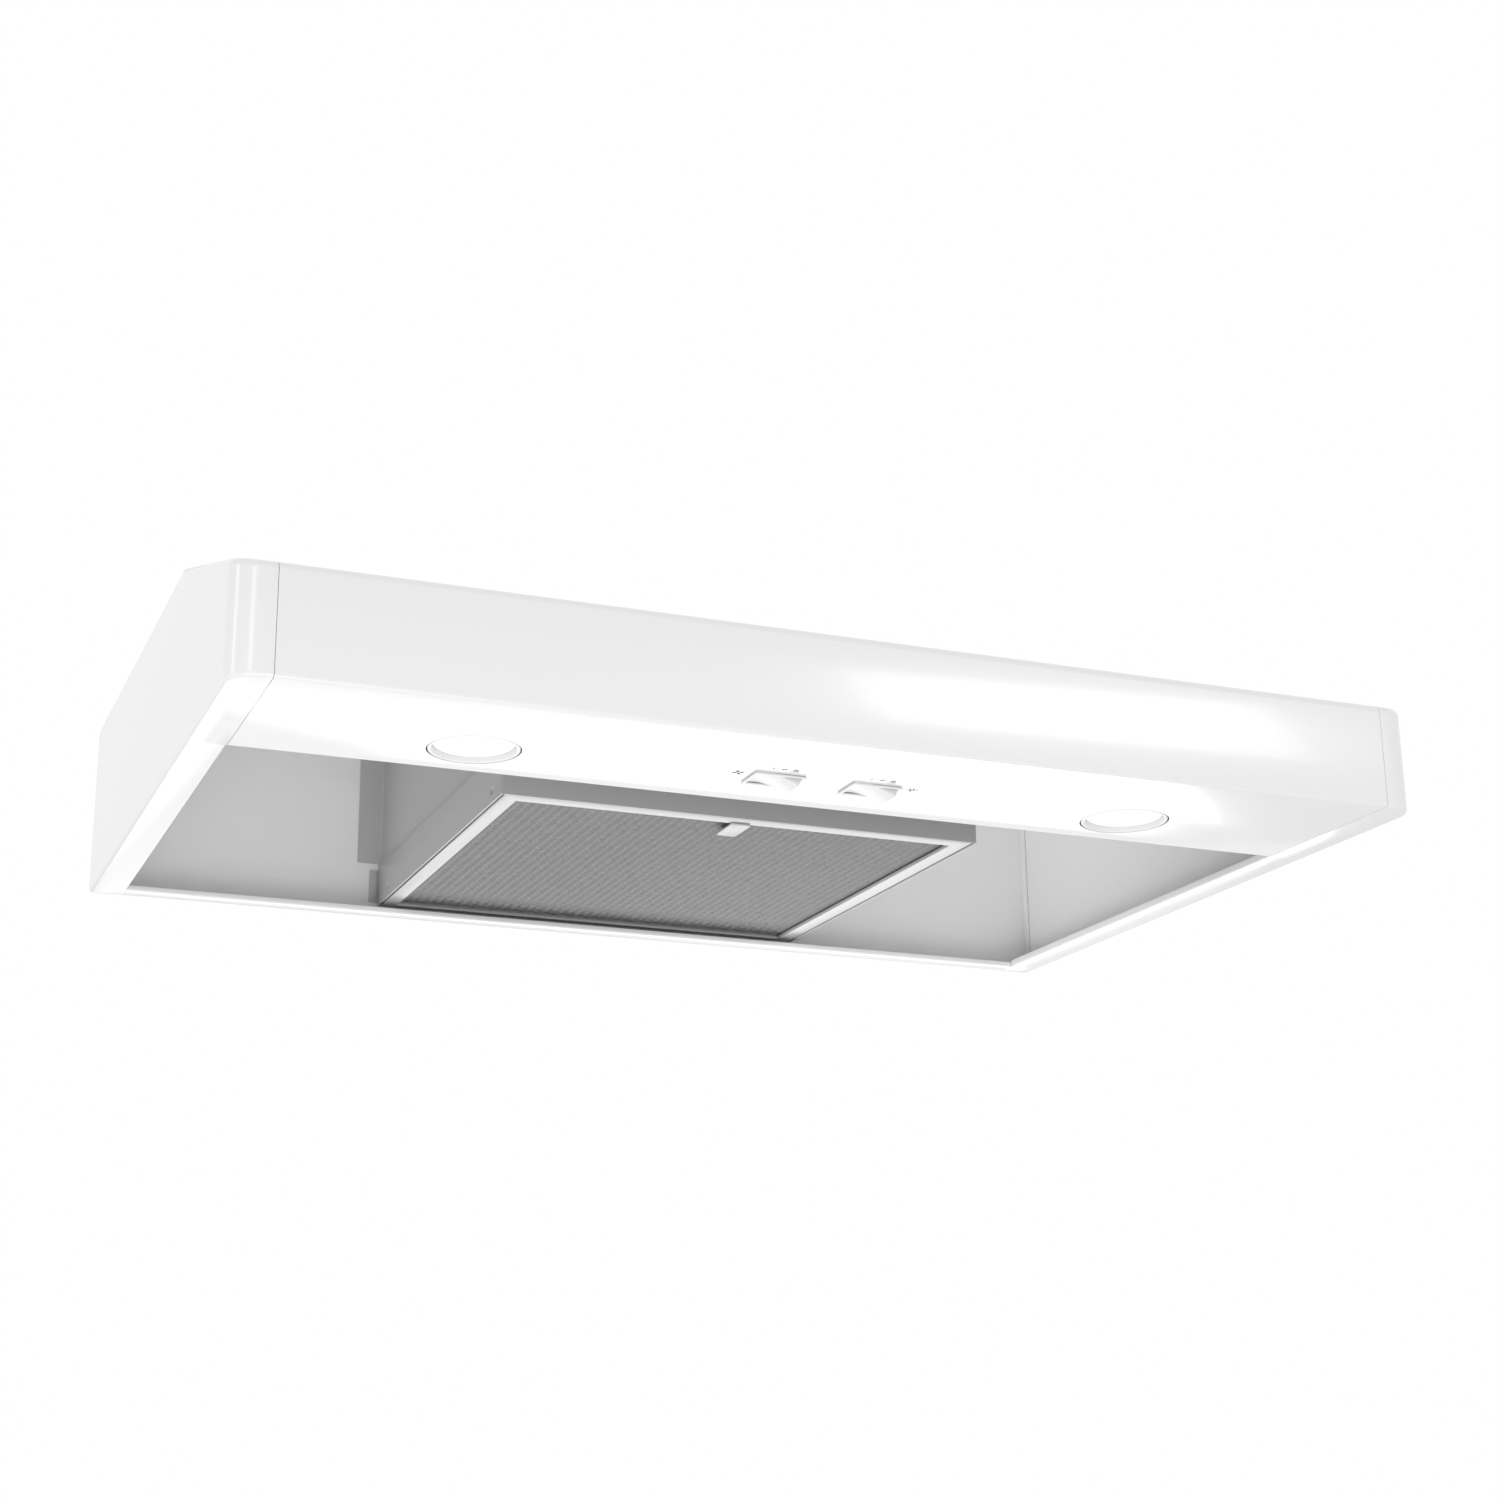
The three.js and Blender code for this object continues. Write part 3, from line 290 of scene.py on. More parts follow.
def soften(piece, sharp=SHARP):
    """Smooth shading, kept crisp at edges over an angle in degrees."""
    for polygon in piece.data.polygons:
        polygon.use_smooth = True
    piece.data.set_sharp_from_angle(angle=math.radians(sharp))


def cut_out(piece, cutter_bm):
    """Cuts a bmesh's closed shapes out of a piece."""
    bmesh.ops.recalc_face_normals(cutter_bm, faces=cutter_bm.faces)
    cutter = object_from(cutter_bm, "cutter")
    mesh = cutter.data
    cut = piece.modifiers.new("Cut-outs", "BOOLEAN")
    cut.operation = "DIFFERENCE"
    cut.solver = "EXACT"
    cut.object = cutter
    settle(piece)
    bpy.data.objects.remove(cutter)
    bpy.data.meshes.remove(mesh)
    soften(piece)


def join(bm, part):
    """Adds one bmesh to another."""
    mesh = bpy.data.meshes.new("part")
    part.to_mesh(mesh)
    part.free()
    bm.from_mesh(mesh)
    bpy.data.meshes.remove(mesh)


def bend(bm, edges, offset, segments):
    """Rounds folds or edges."""
    bmesh.ops.bevel(
        bm, geom=list(edges), offset=offset, offset_type="OFFSET", segments=segments, profile=0.5,
        affect="EDGES", material=-1, clamp_overlap=True,
    )


def cut_plane(bm, place, normal, faces=None, clear=False):
    """Cuts faces along a plane, and with clear drops what lies beyond it."""
    faces = list(bm.faces) if faces is None else list(faces)
    edges = {edge for face in faces for edge in face.edges}
    verts = {vert for face in faces for vert in face.verts}
    geometry = faces + list(edges) + list(verts)
    bmesh.ops.bisect_plane(
        bm, geom=geometry, dist=NEAR, plane_co=place, plane_no=normal, clear_outer=clear
    )


def drop_faces(bm, test):
    bmesh.ops.delete(bm, geom=[face for face in bm.faces if test(face)], context="FACES")


def reverse(bm):
    bmesh.ops.reverse_faces(bm, faces=bm.faces)


def face_down(bm):
    """Turns an open sheet so that its faces point down."""
    bm.normal_update()
    if sum(face.normal.z for face in bm.faces) > 0:
        reverse(bm)


def line_of(bm, points):
    """Points and the edges that join each to the next."""
    verts = [bm.verts.new(point) for point in points]
    return verts, [bm.edges.new(pair) for pair in zip(verts, verts[1:])]


def grow_edges(bm, edges, vector):
    """Draws out a strip of sheet from edges."""
    grown = bmesh.ops.extrude_edge_only(bm, edges=list(edges))
    moved = [item for item in grown["geom"] if isinstance(item, bmesh.types.BMVert)]
    bmesh.ops.translate(bm, verts=moved, vec=vector)
    return moved


def rim_edges(bm, test):
    """Open edges of the sheet whose two ends pass a test."""
    return [edge for edge in bm.edges if edge.is_boundary and all(test(vert.co) for vert in edge.verts)]


def folds(bm, test=lambda co: True, least=0.5):
    """Inner edges whose two ends pass a test and whose faces meet at over the least angle, in radians."""
    return [
        edge
        for edge in bm.edges
        if len(edge.link_faces) == 2
        and edge.calc_face_angle(0) > least
        and all(test(vert.co) for vert in edge.verts)
    ]


def upright_edges(bm):
    return [edge for edge in bm.edges if abs((edge.verts[0].co - edge.verts[1].co).normalized().z) > 0.9]


def prism(bm, outline, vector):
    """A closed prism from an outline of points, drawn out along a vector."""
    base = bm.faces.new([bm.verts.new(point) for point in outline])
    grown = bmesh.ops.extrude_face_region(bm, geom=[base], use_keep_orig=True)
    moved = [item for item in grown["geom"] if isinstance(item, bmesh.types.BMVert)]
    bmesh.ops.translate(bm, verts=moved, vec=vector)
    faces = {face for vert in [*base.verts, *moved] for face in vert.link_faces}
    bmesh.ops.recalc_face_normals(bm, faces=list(faces))


def box(bm, low, high):
    """A closed box between two corners."""
    size = Vector(high) - Vector(low)
    place = Matrix.Translation((Vector(high) + Vector(low)) / 2) @ Matrix.Diagonal((*size, 1))
    bmesh.ops.create_cube(bm, size=1, matrix=place)


def cylinder(bm, centre, radius, height, segments, turn=UPRIGHT):
    """A closed cylinder about a centre."""
    place = Matrix.Translation(centre) @ turn
    bmesh.ops.create_cone(
        bm, cap_ends=True, segments=segments, radius1=radius, radius2=radius, depth=height, matrix=place
    )


def lathe(bm, profile, centre, steps=64):
    """Spins a profile of (radius, height) pairs about an upright axis."""
    verts, edges = line_of(bm, [(centre.x + radius, centre.y, centre.z + z) for radius, z in profile])
    bmesh.ops.spin(
        bm, geom=verts + edges, cent=centre, axis=(0, 0, 1), angle=2 * math.pi, steps=steps, use_merge=True
    )
    bmesh.ops.remove_doubles(bm, verts=bm.verts, dist=NEAR)
    bmesh.ops.recalc_face_normals(bm, faces=bm.faces)


def square_bands(bm, frames, closed=False):
    """Faces between rectangles given as (left, front, right, back, z), one inside or over the next."""
    rings = []
    for left, near, right, far, z in frames:
        corners = ((left, near), (right, near), (right, far), (left, far))
        rings.append([bm.verts.new((x, y, z)) for x, y in corners])
    for first, second in zip(rings, rings[1:] + (rings[:1] if closed else [])):
        for i in range(4):
            bm.faces.new((first[i], first[i - 1], second[i - 1], second[i]))


def arc(centre, radius, start, end, steps):
    """Points (u, v) on an arc, with its angles in radians."""
    angles = [start + (end - start) * i / steps for i in range(steps + 1)]
    return [(centre[0] + radius * math.cos(a), centre[1] + radius * math.sin(a)) for a in angles]


def flat_down(face):
    """Whether a face lies flat in the hood's underside."""
    return face.normal.z < -0.99 and abs(face.calc_center_median().z - BASE) < IN_PLANE


# ---- Finishes ----

COAT_ROUGHNESS = 0.08
GLOW_COLOUR = (1, 0.995, 0.98, 1)
CELLS = "cells"


def finish(name, colour, tint, gloss, relief=None, metallic=0.0, coat=0.0, stretch=(1, 1, 1), glow=0.0):
    """A Principled material with its detail.

    The tint and the gloss are (scale, detail, low, high): a pattern, and the strengths of the colour or the
    roughnesses that it runs between. The relief is (scale, detail, height in metres, strength).
    """
    made = bpy.data.materials.new(name)
    made.use_nodes = True
    shader = made.node_tree.nodes["Principled BSDF"]
    shader.inputs["Base Color"].default_value = (*getattr(settings("colours"), colour), 1)
    shader.inputs["Metallic"].default_value = metallic
    shader.inputs["Coat Weight"].default_value = coat
    shader.inputs["Coat Roughness"].default_value = COAT_ROUGHNESS
    if glow:
        shader.inputs["Emission Color"].default_value = GLOW_COLOUR
        shader.inputs["Emission Strength"].default_value = glow
    vary_colour(made, pattern(made, *tint[:2], stretch), *tint[2:])
    vary_roughness(made, pattern(made, *gloss[:2], stretch), *gloss[2:])
    if relief:
        emboss(made, pattern(made, *relief[:2], stretch), *relief[2:])
    return made


def pattern(material, scale, detail, stretch):
    """Noise or crystal cells on object coordinates, scale in features per metre."""
    nodes, links = material.node_tree.nodes, material.node_tree.links
    place = nodes.new("ShaderNodeTexCoord")
    mapping = nodes.new("ShaderNodeMapping")
    mapping.inputs["Scale"].default_value = stretch
    texture = nodes.new("ShaderNodeTexVoronoi" if detail == CELLS else "ShaderNodeTexNoise")
    texture.inputs["Scale"].default_value = scale
    links.new(place.outputs["Object"], mapping.inputs["Vector"])
    links.new(mapping.outputs["Vector"], texture.inputs["Vector"])
    if detail == CELLS:
        split = nodes.new("ShaderNodeSeparateColor")
        links.new(texture.outputs["Color"], split.inputs["Color"])
        return split.outputs["Red"]
    texture.inputs["Detail"].default_value = detail
    return texture.outputs["Fac"]


def vary_colour(material, pattern, low, high):
    """Lets the base colour wander between two strengths of itself."""
    nodes, links = material.node_tree.nodes, material.node_tree.links
    shader = nodes["Principled BSDF"]
    base = Vector(shader.inputs["Base Color"].default_value[:3])
    mix = nodes.new("ShaderNodeMix")
    mix.data_type = "RGBA"
    mix.inputs["A"].default_value = (*(base * low), 1)
    mix.inputs["B"].default_value = (*[min(1, part * high) for part in base], 1)
    links.new(pattern, mix.inputs["Factor"])
    links.new(mix.outputs["Result"], shader.inputs["Base Color"])


def vary_roughness(material, pattern, low, high):
    nodes, links = material.node_tree.nodes, material.node_tree.links
    spread = nodes.new("ShaderNodeMapRange")
    spread.inputs["To Min"].default_value = low
    spread.inputs["To Max"].default_value = high
    links.new(pattern, spread.inputs["Value"])
    links.new(spread.outputs["Result"], nodes["Principled BSDF"].inputs["Roughness"])


def emboss(material, pattern, height, strength=1.0):
    """Fine relief from a pattern, its height in metres."""
    nodes, links = material.node_tree.nodes, material.node_tree.links
    bump = nodes.new("ShaderNodeBump")
    bump.inputs["Strength"].default_value = strength
    bump.inputs["Distance"].default_value = height
    links.new(pattern, bump.inputs["Height"])
    links.new(bump.outputs["Normal"], nodes["Principled BSDF"].inputs["Normal"])

FINISHES = {
    # Gloss baked enamel, with a very slight orange peel.
    "enamel": dict(
        name="Baked enamel", colour="enamel", coat=0.35,
        tint=(6, 2, 0.992, 1.0), gloss=(40, 3, 0.17, 0.24), relief=(900, 1, 0.00001, 0.25),
    ),
    # Satin enamel of the skirt and the air box.
    "inner_enamel": dict(
        name="Inner enamel", colour="inner", coat=0.1,
        tint=(9, 3, 0.97, 1.0), gloss=(60, 3, 0.28, 0.38), relief=(1200, 2, 0.00001, 0.3),
    ),
    # Zinc-coated sheet with its crystal spangle.
    "galvanised": dict(
        name="Galvanised sheet", colour="zinc", metallic=0.9,
        tint=(160, CELLS, 0.86, 1.06), gloss=(160, CELLS, 0.3, 0.5), relief=(500, 2, 0.00001, 0.3),
    ),
    # Turned steel under bright zinc, with fine machining marks.
    "steel": dict(
        name="Plated steel", colour="steel", metallic=1.0, stretch=(1, 1, 12),
        tint=(500, 3, 0.85, 1.08), gloss=(500, 3, 0.25, 0.42), relief=(500, 3, 0.00001, 0.3),
    ),
    # Rolled aluminium sheet with faint lines along its length.
    "aluminium": dict(
        name="Rolled aluminium", colour="aluminium", metallic=0.55, stretch=(0.08, 2, 2),
        tint=(300, 3, 0.95, 1.02), gloss=(300, 3, 0.36, 0.48), relief=(300, 3, 0.00001, 0.2),
    ),
    # Expanded mesh, dulled and scuffed by its forming.
    "mesh": dict(
        name="Expanded aluminium", colour="mesh", metallic=0.6,
        tint=(260, 4, 0.7, 1.2), gloss=(260, 4, 0.4, 0.62), relief=(260, 4, 0.00003, 0.3),
    ),
    # The filter's inner layers, coloured near black: painted shade, standing in for the shade behind the face
    # mesh.
    "inner_layers": dict(
        name="Filter inner layers", colour="layers", metallic=0.2,
        tint=(120, 4, 0.6, 1.4), gloss=(120, 4, 0.5, 0.7), relief=(120, 4, 0.00003, 0.3),
    ),
    # Semi-gloss moulded plastic with a fine spark texture.
    "white_plastic": dict(
        name="White plastic", colour="plastic",
        tint=(30, 2, 0.985, 1.0), gloss=(900, 2, 0.26, 0.36), relief=(2600, 2, 0.00001, 0.3),
    ),
    "dark_plastic": dict(
        name="Dark plastic", colour="dark",
        tint=(60, 2, 0.9, 1.1), gloss=(1800, 2, 0.42, 0.58), relief=(1800, 2, 0.00002, 0.4),
    ),
    "rubber": dict(
        name="Rubber", colour="rubber",
        tint=(400, 4, 0.8, 1.6), gloss=(400, 4, 0.65, 0.85), relief=(2200, 2, 0.00002, 0.4),
    ),
    "cable": dict(
        name="Cable sheath", colour="sheath",
        tint=(90, 2, 0.85, 1.2), gloss=(700, 2, 0.36, 0.55), relief=(1500, 2, 0.00002, 0.3),
    ),
    # Frosted glass in front of a lit reflector.
    "lens": dict(
        name="Frosted lens", colour="lens", glow=0.22,
        tint=(1400, 2, 0.97, 1.0), gloss=(1400, 2, 0.3, 0.45), relief=(1400, 2, 0.00002, 0.3),
    ),
    "ceramic": dict(
        name="Socket ceramic", colour="ceramic",
        tint=(700, 4, 0.93, 1.04), gloss=(700, 4, 0.45, 0.65), relief=(700, 4, 0.00002, 0.3),
    ),
    "print": dict(
        name="Printed marks", colour="print", tint=(3000, 2, 0.85, 1.2), gloss=(3000, 2, 0.45, 0.6)
    ),
    "floor": dict(name="Studio floor", colour="floor", tint=(3, 2, 0.99, 1.0), gloss=(3, 2, 0.8, 0.8)),
}
MADE = {}


def material(slot):
    """The material of a slot, made once."""
    if slot not in MADE:
        MADE[slot] = finish(**FINISHES[slot])
    return MADE[slot]


# ---- Canopy ----


def canopy_form():
    """The hood's whole outer skin, with its corners and rims rounded."""
    sizes = settings("canopy")
    bm = bmesh.new()
    profile = [
        (FRONT, BASE),
        (BACK, BASE),
        (BACK, TOP),
        (FRONT + sizes.slope_run, TOP),
        (FRONT, BASE + sizes.nose_height),
    ]
    prism(bm, [(-HALF, y, z) for y, z in profile], (2 * HALF, 0, 0))
    bmesh.ops.recalc_face_normals(bm, faces=bm.faces)
    corners = [edge for edge in upright_edges(bm) if all(vert.co.y < FRONT + NEAR for vert in edge.verts)]
    bend(bm, corners, sizes.corner_radius, 18)

    def rim(up):
        chosen = []
        for edge in bm.edges:
            normals = [face.normal for face in edge.link_faces]
            if len(normals) != 2 or any(normal.y > 0.9 for normal in normals):
                continue
            heights = sorted(normal.z * up for normal in normals)
            if abs(heights[0]) < 0.1 and heights[1] > 0.9:
                chosen.append(edge)
        return chosen

    bend(bm, rim(1), sizes.top_bend, 6)
    bend(bm, rim(-1), sizes.bottom_bend, 5)
    return bm


def middle_form():
    """The outer skin between the two end panels."""
    bm = canopy_form()
    edge = SEAM - settings("canopy").gap
    for side in (-1, 1):
        cut_plane(bm, (side * edge, 0, 0), (side, 0, 0), clear=True)
    return bm


def enamelled(bm, node):
    """An outer panel in the place of its node."""
    sheet = settings("canopy").sheet
    return piece_from(bm, node + "_enamelled", "canopy", "enamel", (node,), solidify=sheet)


def add_end_panel(side, name):
    """One end panel, wrapped onto the front, the top and the underside, with a hem round the opening."""
    sizes = settings("canopy")
    bm = canopy_form()
    cut_plane(bm, (side * SEAM, 0, 0), (-side, 0, 0), clear=True)
    drop_faces(bm, lambda face: face.normal.y > 0.9)
    hem_front = FRONT + sizes.lip_depth + sizes.gap
    hem_back = BACK - sizes.rear_flange - sizes.gap
    flange_end = BACK - sizes.sheet - sizes.gap
    for y in (hem_front, hem_back, flange_end):
        cut_plane(bm, (0, y, 0), (0, 1, 0), filter(flat_down, bm.faces))
    drop_faces(bm, lambda face: flat_down(face) and face.calc_center_median().y > flange_end)

    def at_seam(co):
        return abs(co.x - side * SEAM) < NEAR and abs(co.z - BASE) < NEAR

    inner = rim_edges(bm, lambda co: at_seam(co) and hem_front - NEAR < co.y < hem_back + NEAR)
    grow_edges(bm, inner, (0, 0, sizes.hem))
    bend(bm, folds(bm, at_seam), sizes.fold, 3)
    enamelled(bm, name)


def add_front_panel():
    """The front face, its bends, the underside lip with its cut-outs, and the lip's hem."""
    sizes, fittings = settings("canopy"), settings("fittings")
    bm = middle_form()
    lip_end = FRONT + sizes.lip_depth
    flange_end = FRONT + sizes.front_flange
    cut_plane(bm, (0, lip_end, 0), (0, 1, 0), clear=True)
    cut_plane(bm, (0, flange_end, 0), (0, 1, 0), [face for face in bm.faces if face.normal.z > 0.5])
    drop_faces(bm, lambda face: face.normal.z > 0.5 and face.calc_center_median().y > flange_end)
    lip_edge = rim_edges(bm, lambda co: abs(co.y - lip_end) < NEAR and co.z < BASE + sizes.sheet)
    grow_edges(bm, lip_edge, (0, 0, 2 * sizes.hem))
    bend(bm, folds(bm, lambda co: abs(co.y - lip_end) < NEAR and co.z < BASE + NEAR), sizes.fold, 3)
    panel = enamelled(bm, "front_panel")
    cutters = bmesh.new()
    deep = 10 * sizes.sheet
    for side in (-1, 1):
        cylinder(cutters, Vector((side * LAMP_X, LAMP_Y, BASE)), fittings.lamp_hole, deep, 96)
    for job in ("fan", "light"):
        reach = Vector((fittings.window_x, fittings.window_y, deep))
        place = Vector((*middle_of("switch_body_" + job).xy, BASE))
        box(cutters, place - reach, place + reach)
    cut_out(panel, cutters)


def add_top_panel():
    """The sloping and flat top, with the duct opening, keyhole slots and cable entry."""
    sizes = settings("canopy")
    bm = middle_form()
    start = FRONT + sizes.front_flange + sizes.gap
    cut_plane(bm, (0, start, 0), (0, -1, 0), clear=True)
    drop_faces(bm, lambda face: face.normal.z < 0.5)
    panel = enamelled(bm, "top_panel")
    cutters = bmesh.new()
    low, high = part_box("duct_collar")
    flange, deep = sizes.collar_flange, 10 * sizes.sheet
    rear = high.y - flange + 2 * sizes.gap
    box(cutters, (low.x + flange, low.y + flange, -deep), (high.x - flange, rear, deep))
    entry = middle_of("cable_bushing")
    cylinder(cutters, Vector((entry.x, entry.y, 0)), sizes.entry_radius, 2 * deep, 64)
    for x in (-sizes.keyhole_x, sizes.keyhole_x):
        for y in (-sizes.keyhole_y, sizes.keyhole_y):
            keyhole(cutters, x, y, deep)
    score_lines(cutters, deep)
    cut_out(panel, cutters)


def keyhole(bm, x, y, deep):
    """A round hole for a screw's head, with a narrow slot that runs forward from it."""
    sizes = settings("canopy")
    radius, slot = sizes.keyhole_radius, sizes.keyhole_slot
    meet = math.asin(slot / radius)
    outline = arc((x, y), radius, -math.pi / 2 + meet, 1.5 * math.pi - meet, 28)
    outline += arc((x, y - sizes.keyhole_run), slot, math.pi, 2 * math.pi, 10)
    prism(bm, [(u, v, -deep) for u, v in outline], (0, 0, 2 * deep))


def score_lines(bm, deep):
    """Shallow lines round the collar's seat, open at the rear edge, and round the cable entry."""
    sizes = settings("canopy")
    width, depth = sizes.score_width, sizes.score_depth
    low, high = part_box("duct_collar")
    inner = Vector((high.x, low.y)) + Vector((sizes.score_margin, -sizes.score_margin))
    outer = inner + Vector((width, -width))
    end = BACK + width
    half = [(inner.x, end), (inner.x, inner.y), (-inner.x, inner.y), (-inner.x, end)]
    other = [(-outer.x, end), (-outer.x, outer.y), (outer.x, outer.y), (outer.x, end)]
    prism(bm, [(x, y, -depth) for x, y in half + other], (0, 0, deep))
    low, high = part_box("cable_bushing")
    entry = (low + high) / 2
    radius = (high.x - low.x) / 2 + sizes.score_margin
    profile = [(radius, -depth), (radius + width, -depth), (radius + width, deep), (radius, deep)]
    part = bmesh.new()
    lathe(part, profile + profile[:1], Vector((entry.x, entry.y, 0)))
    join(bm, part)


# Corners (x, z) of the knock-outs in the back, and the width of each one's pressed border.
KNOCK_OUTS = (
    ((-0.127, -0.1), (0.127, -0.02), 0.0008),
    ((0.25, -0.05), (0.272, -0.028), 0.0006),
)
KNOCK_OUT_DEPTH = 0.00035


def add_back_panel():
    """The flat back with its lower flange and hem, its side flanges, and scored knock-outs."""
    sizes = settings("canopy")
    edge = HALF - sizes.sheet - sizes.gap
    foot = SEAM - sizes.gap
    head = TOP - sizes.sheet - sizes.gap
    side_foot = BASE + 2 * sizes.hem
    bm = bmesh.new()
    rows = [(BASE, foot), (side_foot, edge), (head, edge)]
    columns = [-edge, -foot, foot, edge]
    grid = {(x, z): bm.verts.new((x, BACK, z)) for x in columns for z, _ in rows}
    for left, right in zip(columns, columns[1:]):
        for (low, _), (high, _) in zip(rows, rows[1:]):
            bm.faces.new([grid[right, low], grid[left, low], grid[left, high], grid[right, high]])
    bm.normal_update()
    bottom = rim_edges(bm, lambda co: abs(co.z - BASE) < NEAR and abs(co.x) < foot + NEAR)
    grow_edges(bm, bottom, (0, -sizes.rear_flange, 0))
    front_edge = rim_edges(bm, lambda co: abs(co.y - BACK + sizes.rear_flange) < NEAR)
    lip = [edge for edge in front_edge if abs(edge.verts[0].co.x - edge.verts[1].co.x) > NEAR]
    grow_edges(bm, lip, (0, 0, sizes.rear_hem))
    for side in (-1, 1):
        wing = rim_edges(
            bm, lambda co: abs(co.x - side * edge) < NEAR and co.z > side_foot - NEAR and co.y > BACK - NEAR
        )
        grow_edges(bm, wing, (0, -sizes.side_flange, 0))
    bmesh.ops.recalc_face_normals(bm, faces=bm.faces)
    if max(bm.faces, key=lambda face: face.calc_area()).normal.y < 0:
        reverse(bm)
    bend(bm, folds(bm), sizes.fold, 3)
    for (left, low), (right, high), width in KNOCK_OUTS:
        corners = Vector((left, BACK, low)), Vector((right, BACK, high))
        press(bm, Vector((0, 1, 0)), *corners, width, KNOCK_OUT_DEPTH)
    enamelled(bm, "back_panel")


def press(bm, normal, low, high, slope, depth):
    """Presses a rectangle a little way into a flat wall, as a knock-out or a dimple is pressed."""
    axes = [axis for axis in range(3) if not normal[axis]]

    def wall():
        return [
            face
            for face in bm.faces
            if (face.normal - normal).length < 0.01
            and abs((face.calc_center_median() - low).dot(normal)) < IN_PLANE
        ]

    for axis in axes:
        for place in (low, high):
            cut_plane(bm, place, Matrix.Identity(3)[axis], wall())
    inside = [
        face
        for face in wall()
        if all(low[axis] - NEAR < face.calc_center_median()[axis] < high[axis] + NEAR for axis in axes)
    ]
    bmesh.ops.inset_region(bm, faces=inside, thickness=slope, depth=-depth, use_even_offset=True)


# ---- Filter skirt and air box ----

DIMPLE_REACH = Vector((0, 0.0045, 0.0025))
DIMPLE_HEIGHT = 0.008
DIMPLE_DEPTH = 0.0012
DIMPLES_FROM_FRONT = 0.0215
DIMPLES_FROM_BACK = 0.03
EAR_GAP = 0.0004
EAR_FOOT = 0.003
EAR_HEAD = 0.005
EAR_EDGE = 0.0002


def skirt_half():
    """The skirt's outer walls from the middle."""
    return -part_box("filter_frame")[0].x + settings("canopy").skirt_clearance


def add_filter_skirt():
    """The tray that the filter sits in: four walls, a flange round its top and dimples in its sides."""
    sizes = settings("canopy")
    low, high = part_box("filter_skirt")
    half, flange = skirt_half(), sizes.skirt_flange
    bm = bmesh.new()
    corners = [(-half, low.y), (half, low.y), (half, high.y), (-half, high.y)]
    ring, edges = line_of(bm, [(x, y, low.z) for x, y in corners])
    edges.append(bm.edges.new((ring[-1], ring[0])))
    grow_edges(bm, edges, (0, 0, high.z - low.z))
    bmesh.ops.recalc_face_normals(bm, faces=bm.faces)
    if sum(face.normal.y * face.calc_center_median().y for face in bm.faces) < 0:
        reverse(bm)
    for vert in grow_edges(bm, rim_edges(bm, lambda co: abs(co.z - high.z) < NEAR), (0, 0, 0)):
        vert.co.x -= math.copysign(flange, vert.co.x)
        vert.co.y += flange if vert.co.y < (low.y + high.y) / 2 else -flange
    bm.normal_update()
    bend(bm, folds(bm), sizes.fold, 3)
    for y in (low.y + DIMPLES_FROM_FRONT, high.y - DIMPLES_FROM_BACK):
        for side in (-1, 1):
            middle = Vector((side * half, y, low.z + DIMPLE_HEIGHT))
            corners = middle - DIMPLE_REACH, middle + DIMPLE_REACH
            press(bm, Vector((side, 0, 0)), *corners, DIMPLE_DEPTH, DIMPLE_DEPTH)
    piece_from(bm, "filter_skirt_folded", "canopy", "inner_enamel", ("filter_skirt",), solidify=sizes.sheet)


def add_skirt_ears():
    """Narrow flanges that hold the skirt to the back panel."""
    low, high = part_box("filter_skirt")
    near, wide = skirt_half() + EAR_GAP, high.x
    thin = settings("canopy").sheet
    bm = bmesh.new()
    for side in (-1, 1):
        left, right = sorted((side * near, side * wide))
        box(bm, (left, high.y - thin, low.z + EAR_FOOT), (right, high.y, high.z - EAR_HEAD))
    bend(bm, bm.edges, EAR_EDGE, 2)
    piece_from(bm, "filter_skirt_ears", "canopy", "inner_enamel")


def add_air_box():
    """Two side walls and a front wall in one folded sheet, flanged outwards on the back panel."""
    sizes = settings("canopy")
    low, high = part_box("air_box")
    half, rear = skirt_half() - sizes.air_box_inset, high.y - sizes.sheet
    path = [(high.x, rear), (half, rear), (half, low.y), (-half, low.y), (-half, rear), (low.x, rear)]
    bm = bmesh.new()
    _, edges = line_of(bm, [(x, y, low.z) for x, y in path])
    grow_edges(bm, edges, (0, 0, high.z - low.z))
    bm.normal_update()
    if min(bm.faces, key=lambda face: face.calc_center_median().y).normal.y > 0:
        reverse(bm)
    bend(bm, folds(bm), sizes.air_box_fold, 4)
    piece = piece_from(bm, "air_box_folded", "canopy", "inner_enamel", ("air_box",), solidify=sizes.sheet)
    low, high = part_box("motor_cable")
    hole = Vector((half, low.y + sizes.cable_radius, high.z - sizes.cable_radius))
    cutters = bmesh.new()
    cylinder(cutters, hole, sizes.cable_hole, 20 * sizes.sheet, 32, ALONG_X)
    cut_out(piece, cutters)


# ---- Grease filter ----


def add_filter_frame():
    """A folded channel round the mesh, with its inner edge turned up."""
    sizes = settings("filter")
    low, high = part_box("filter_frame")
    low.x, high.x = low.x + sizes.side_gap, high.x - sizes.side_gap
    over = sizes.top_share
    profile = [
        (1, low.z + sizes.rim), (1, low.z), (0, low.z),
        (0, high.z), (over, high.z), (over, high.z - sizes.top_rim),
    ]
    frames = []
    for share, z in profile:
        inset, rear = share * sizes.border, share * sizes.rear_border
        frames.append((low.x + inset, low.y + inset, high.x - inset, high.y - rear, z))
    bm = bmesh.new()
    square_bands(bm, frames)
    bm.normal_update()
    middle = (low.z + high.z) / 2
    border = [face for face in bm.faces if abs(face.normal.z) > 0.9 and face.calc_center_median().z < middle]
    if border[0].normal.z > 0:
        reverse(bm)
    bend(bm, folds(bm), sizes.channel_fold, 3)
    node, thick = "filter_frame", sizes.channel
    piece_from(bm, node + "_folded", "grease_filter", "aluminium", (node,), solidify=thick)


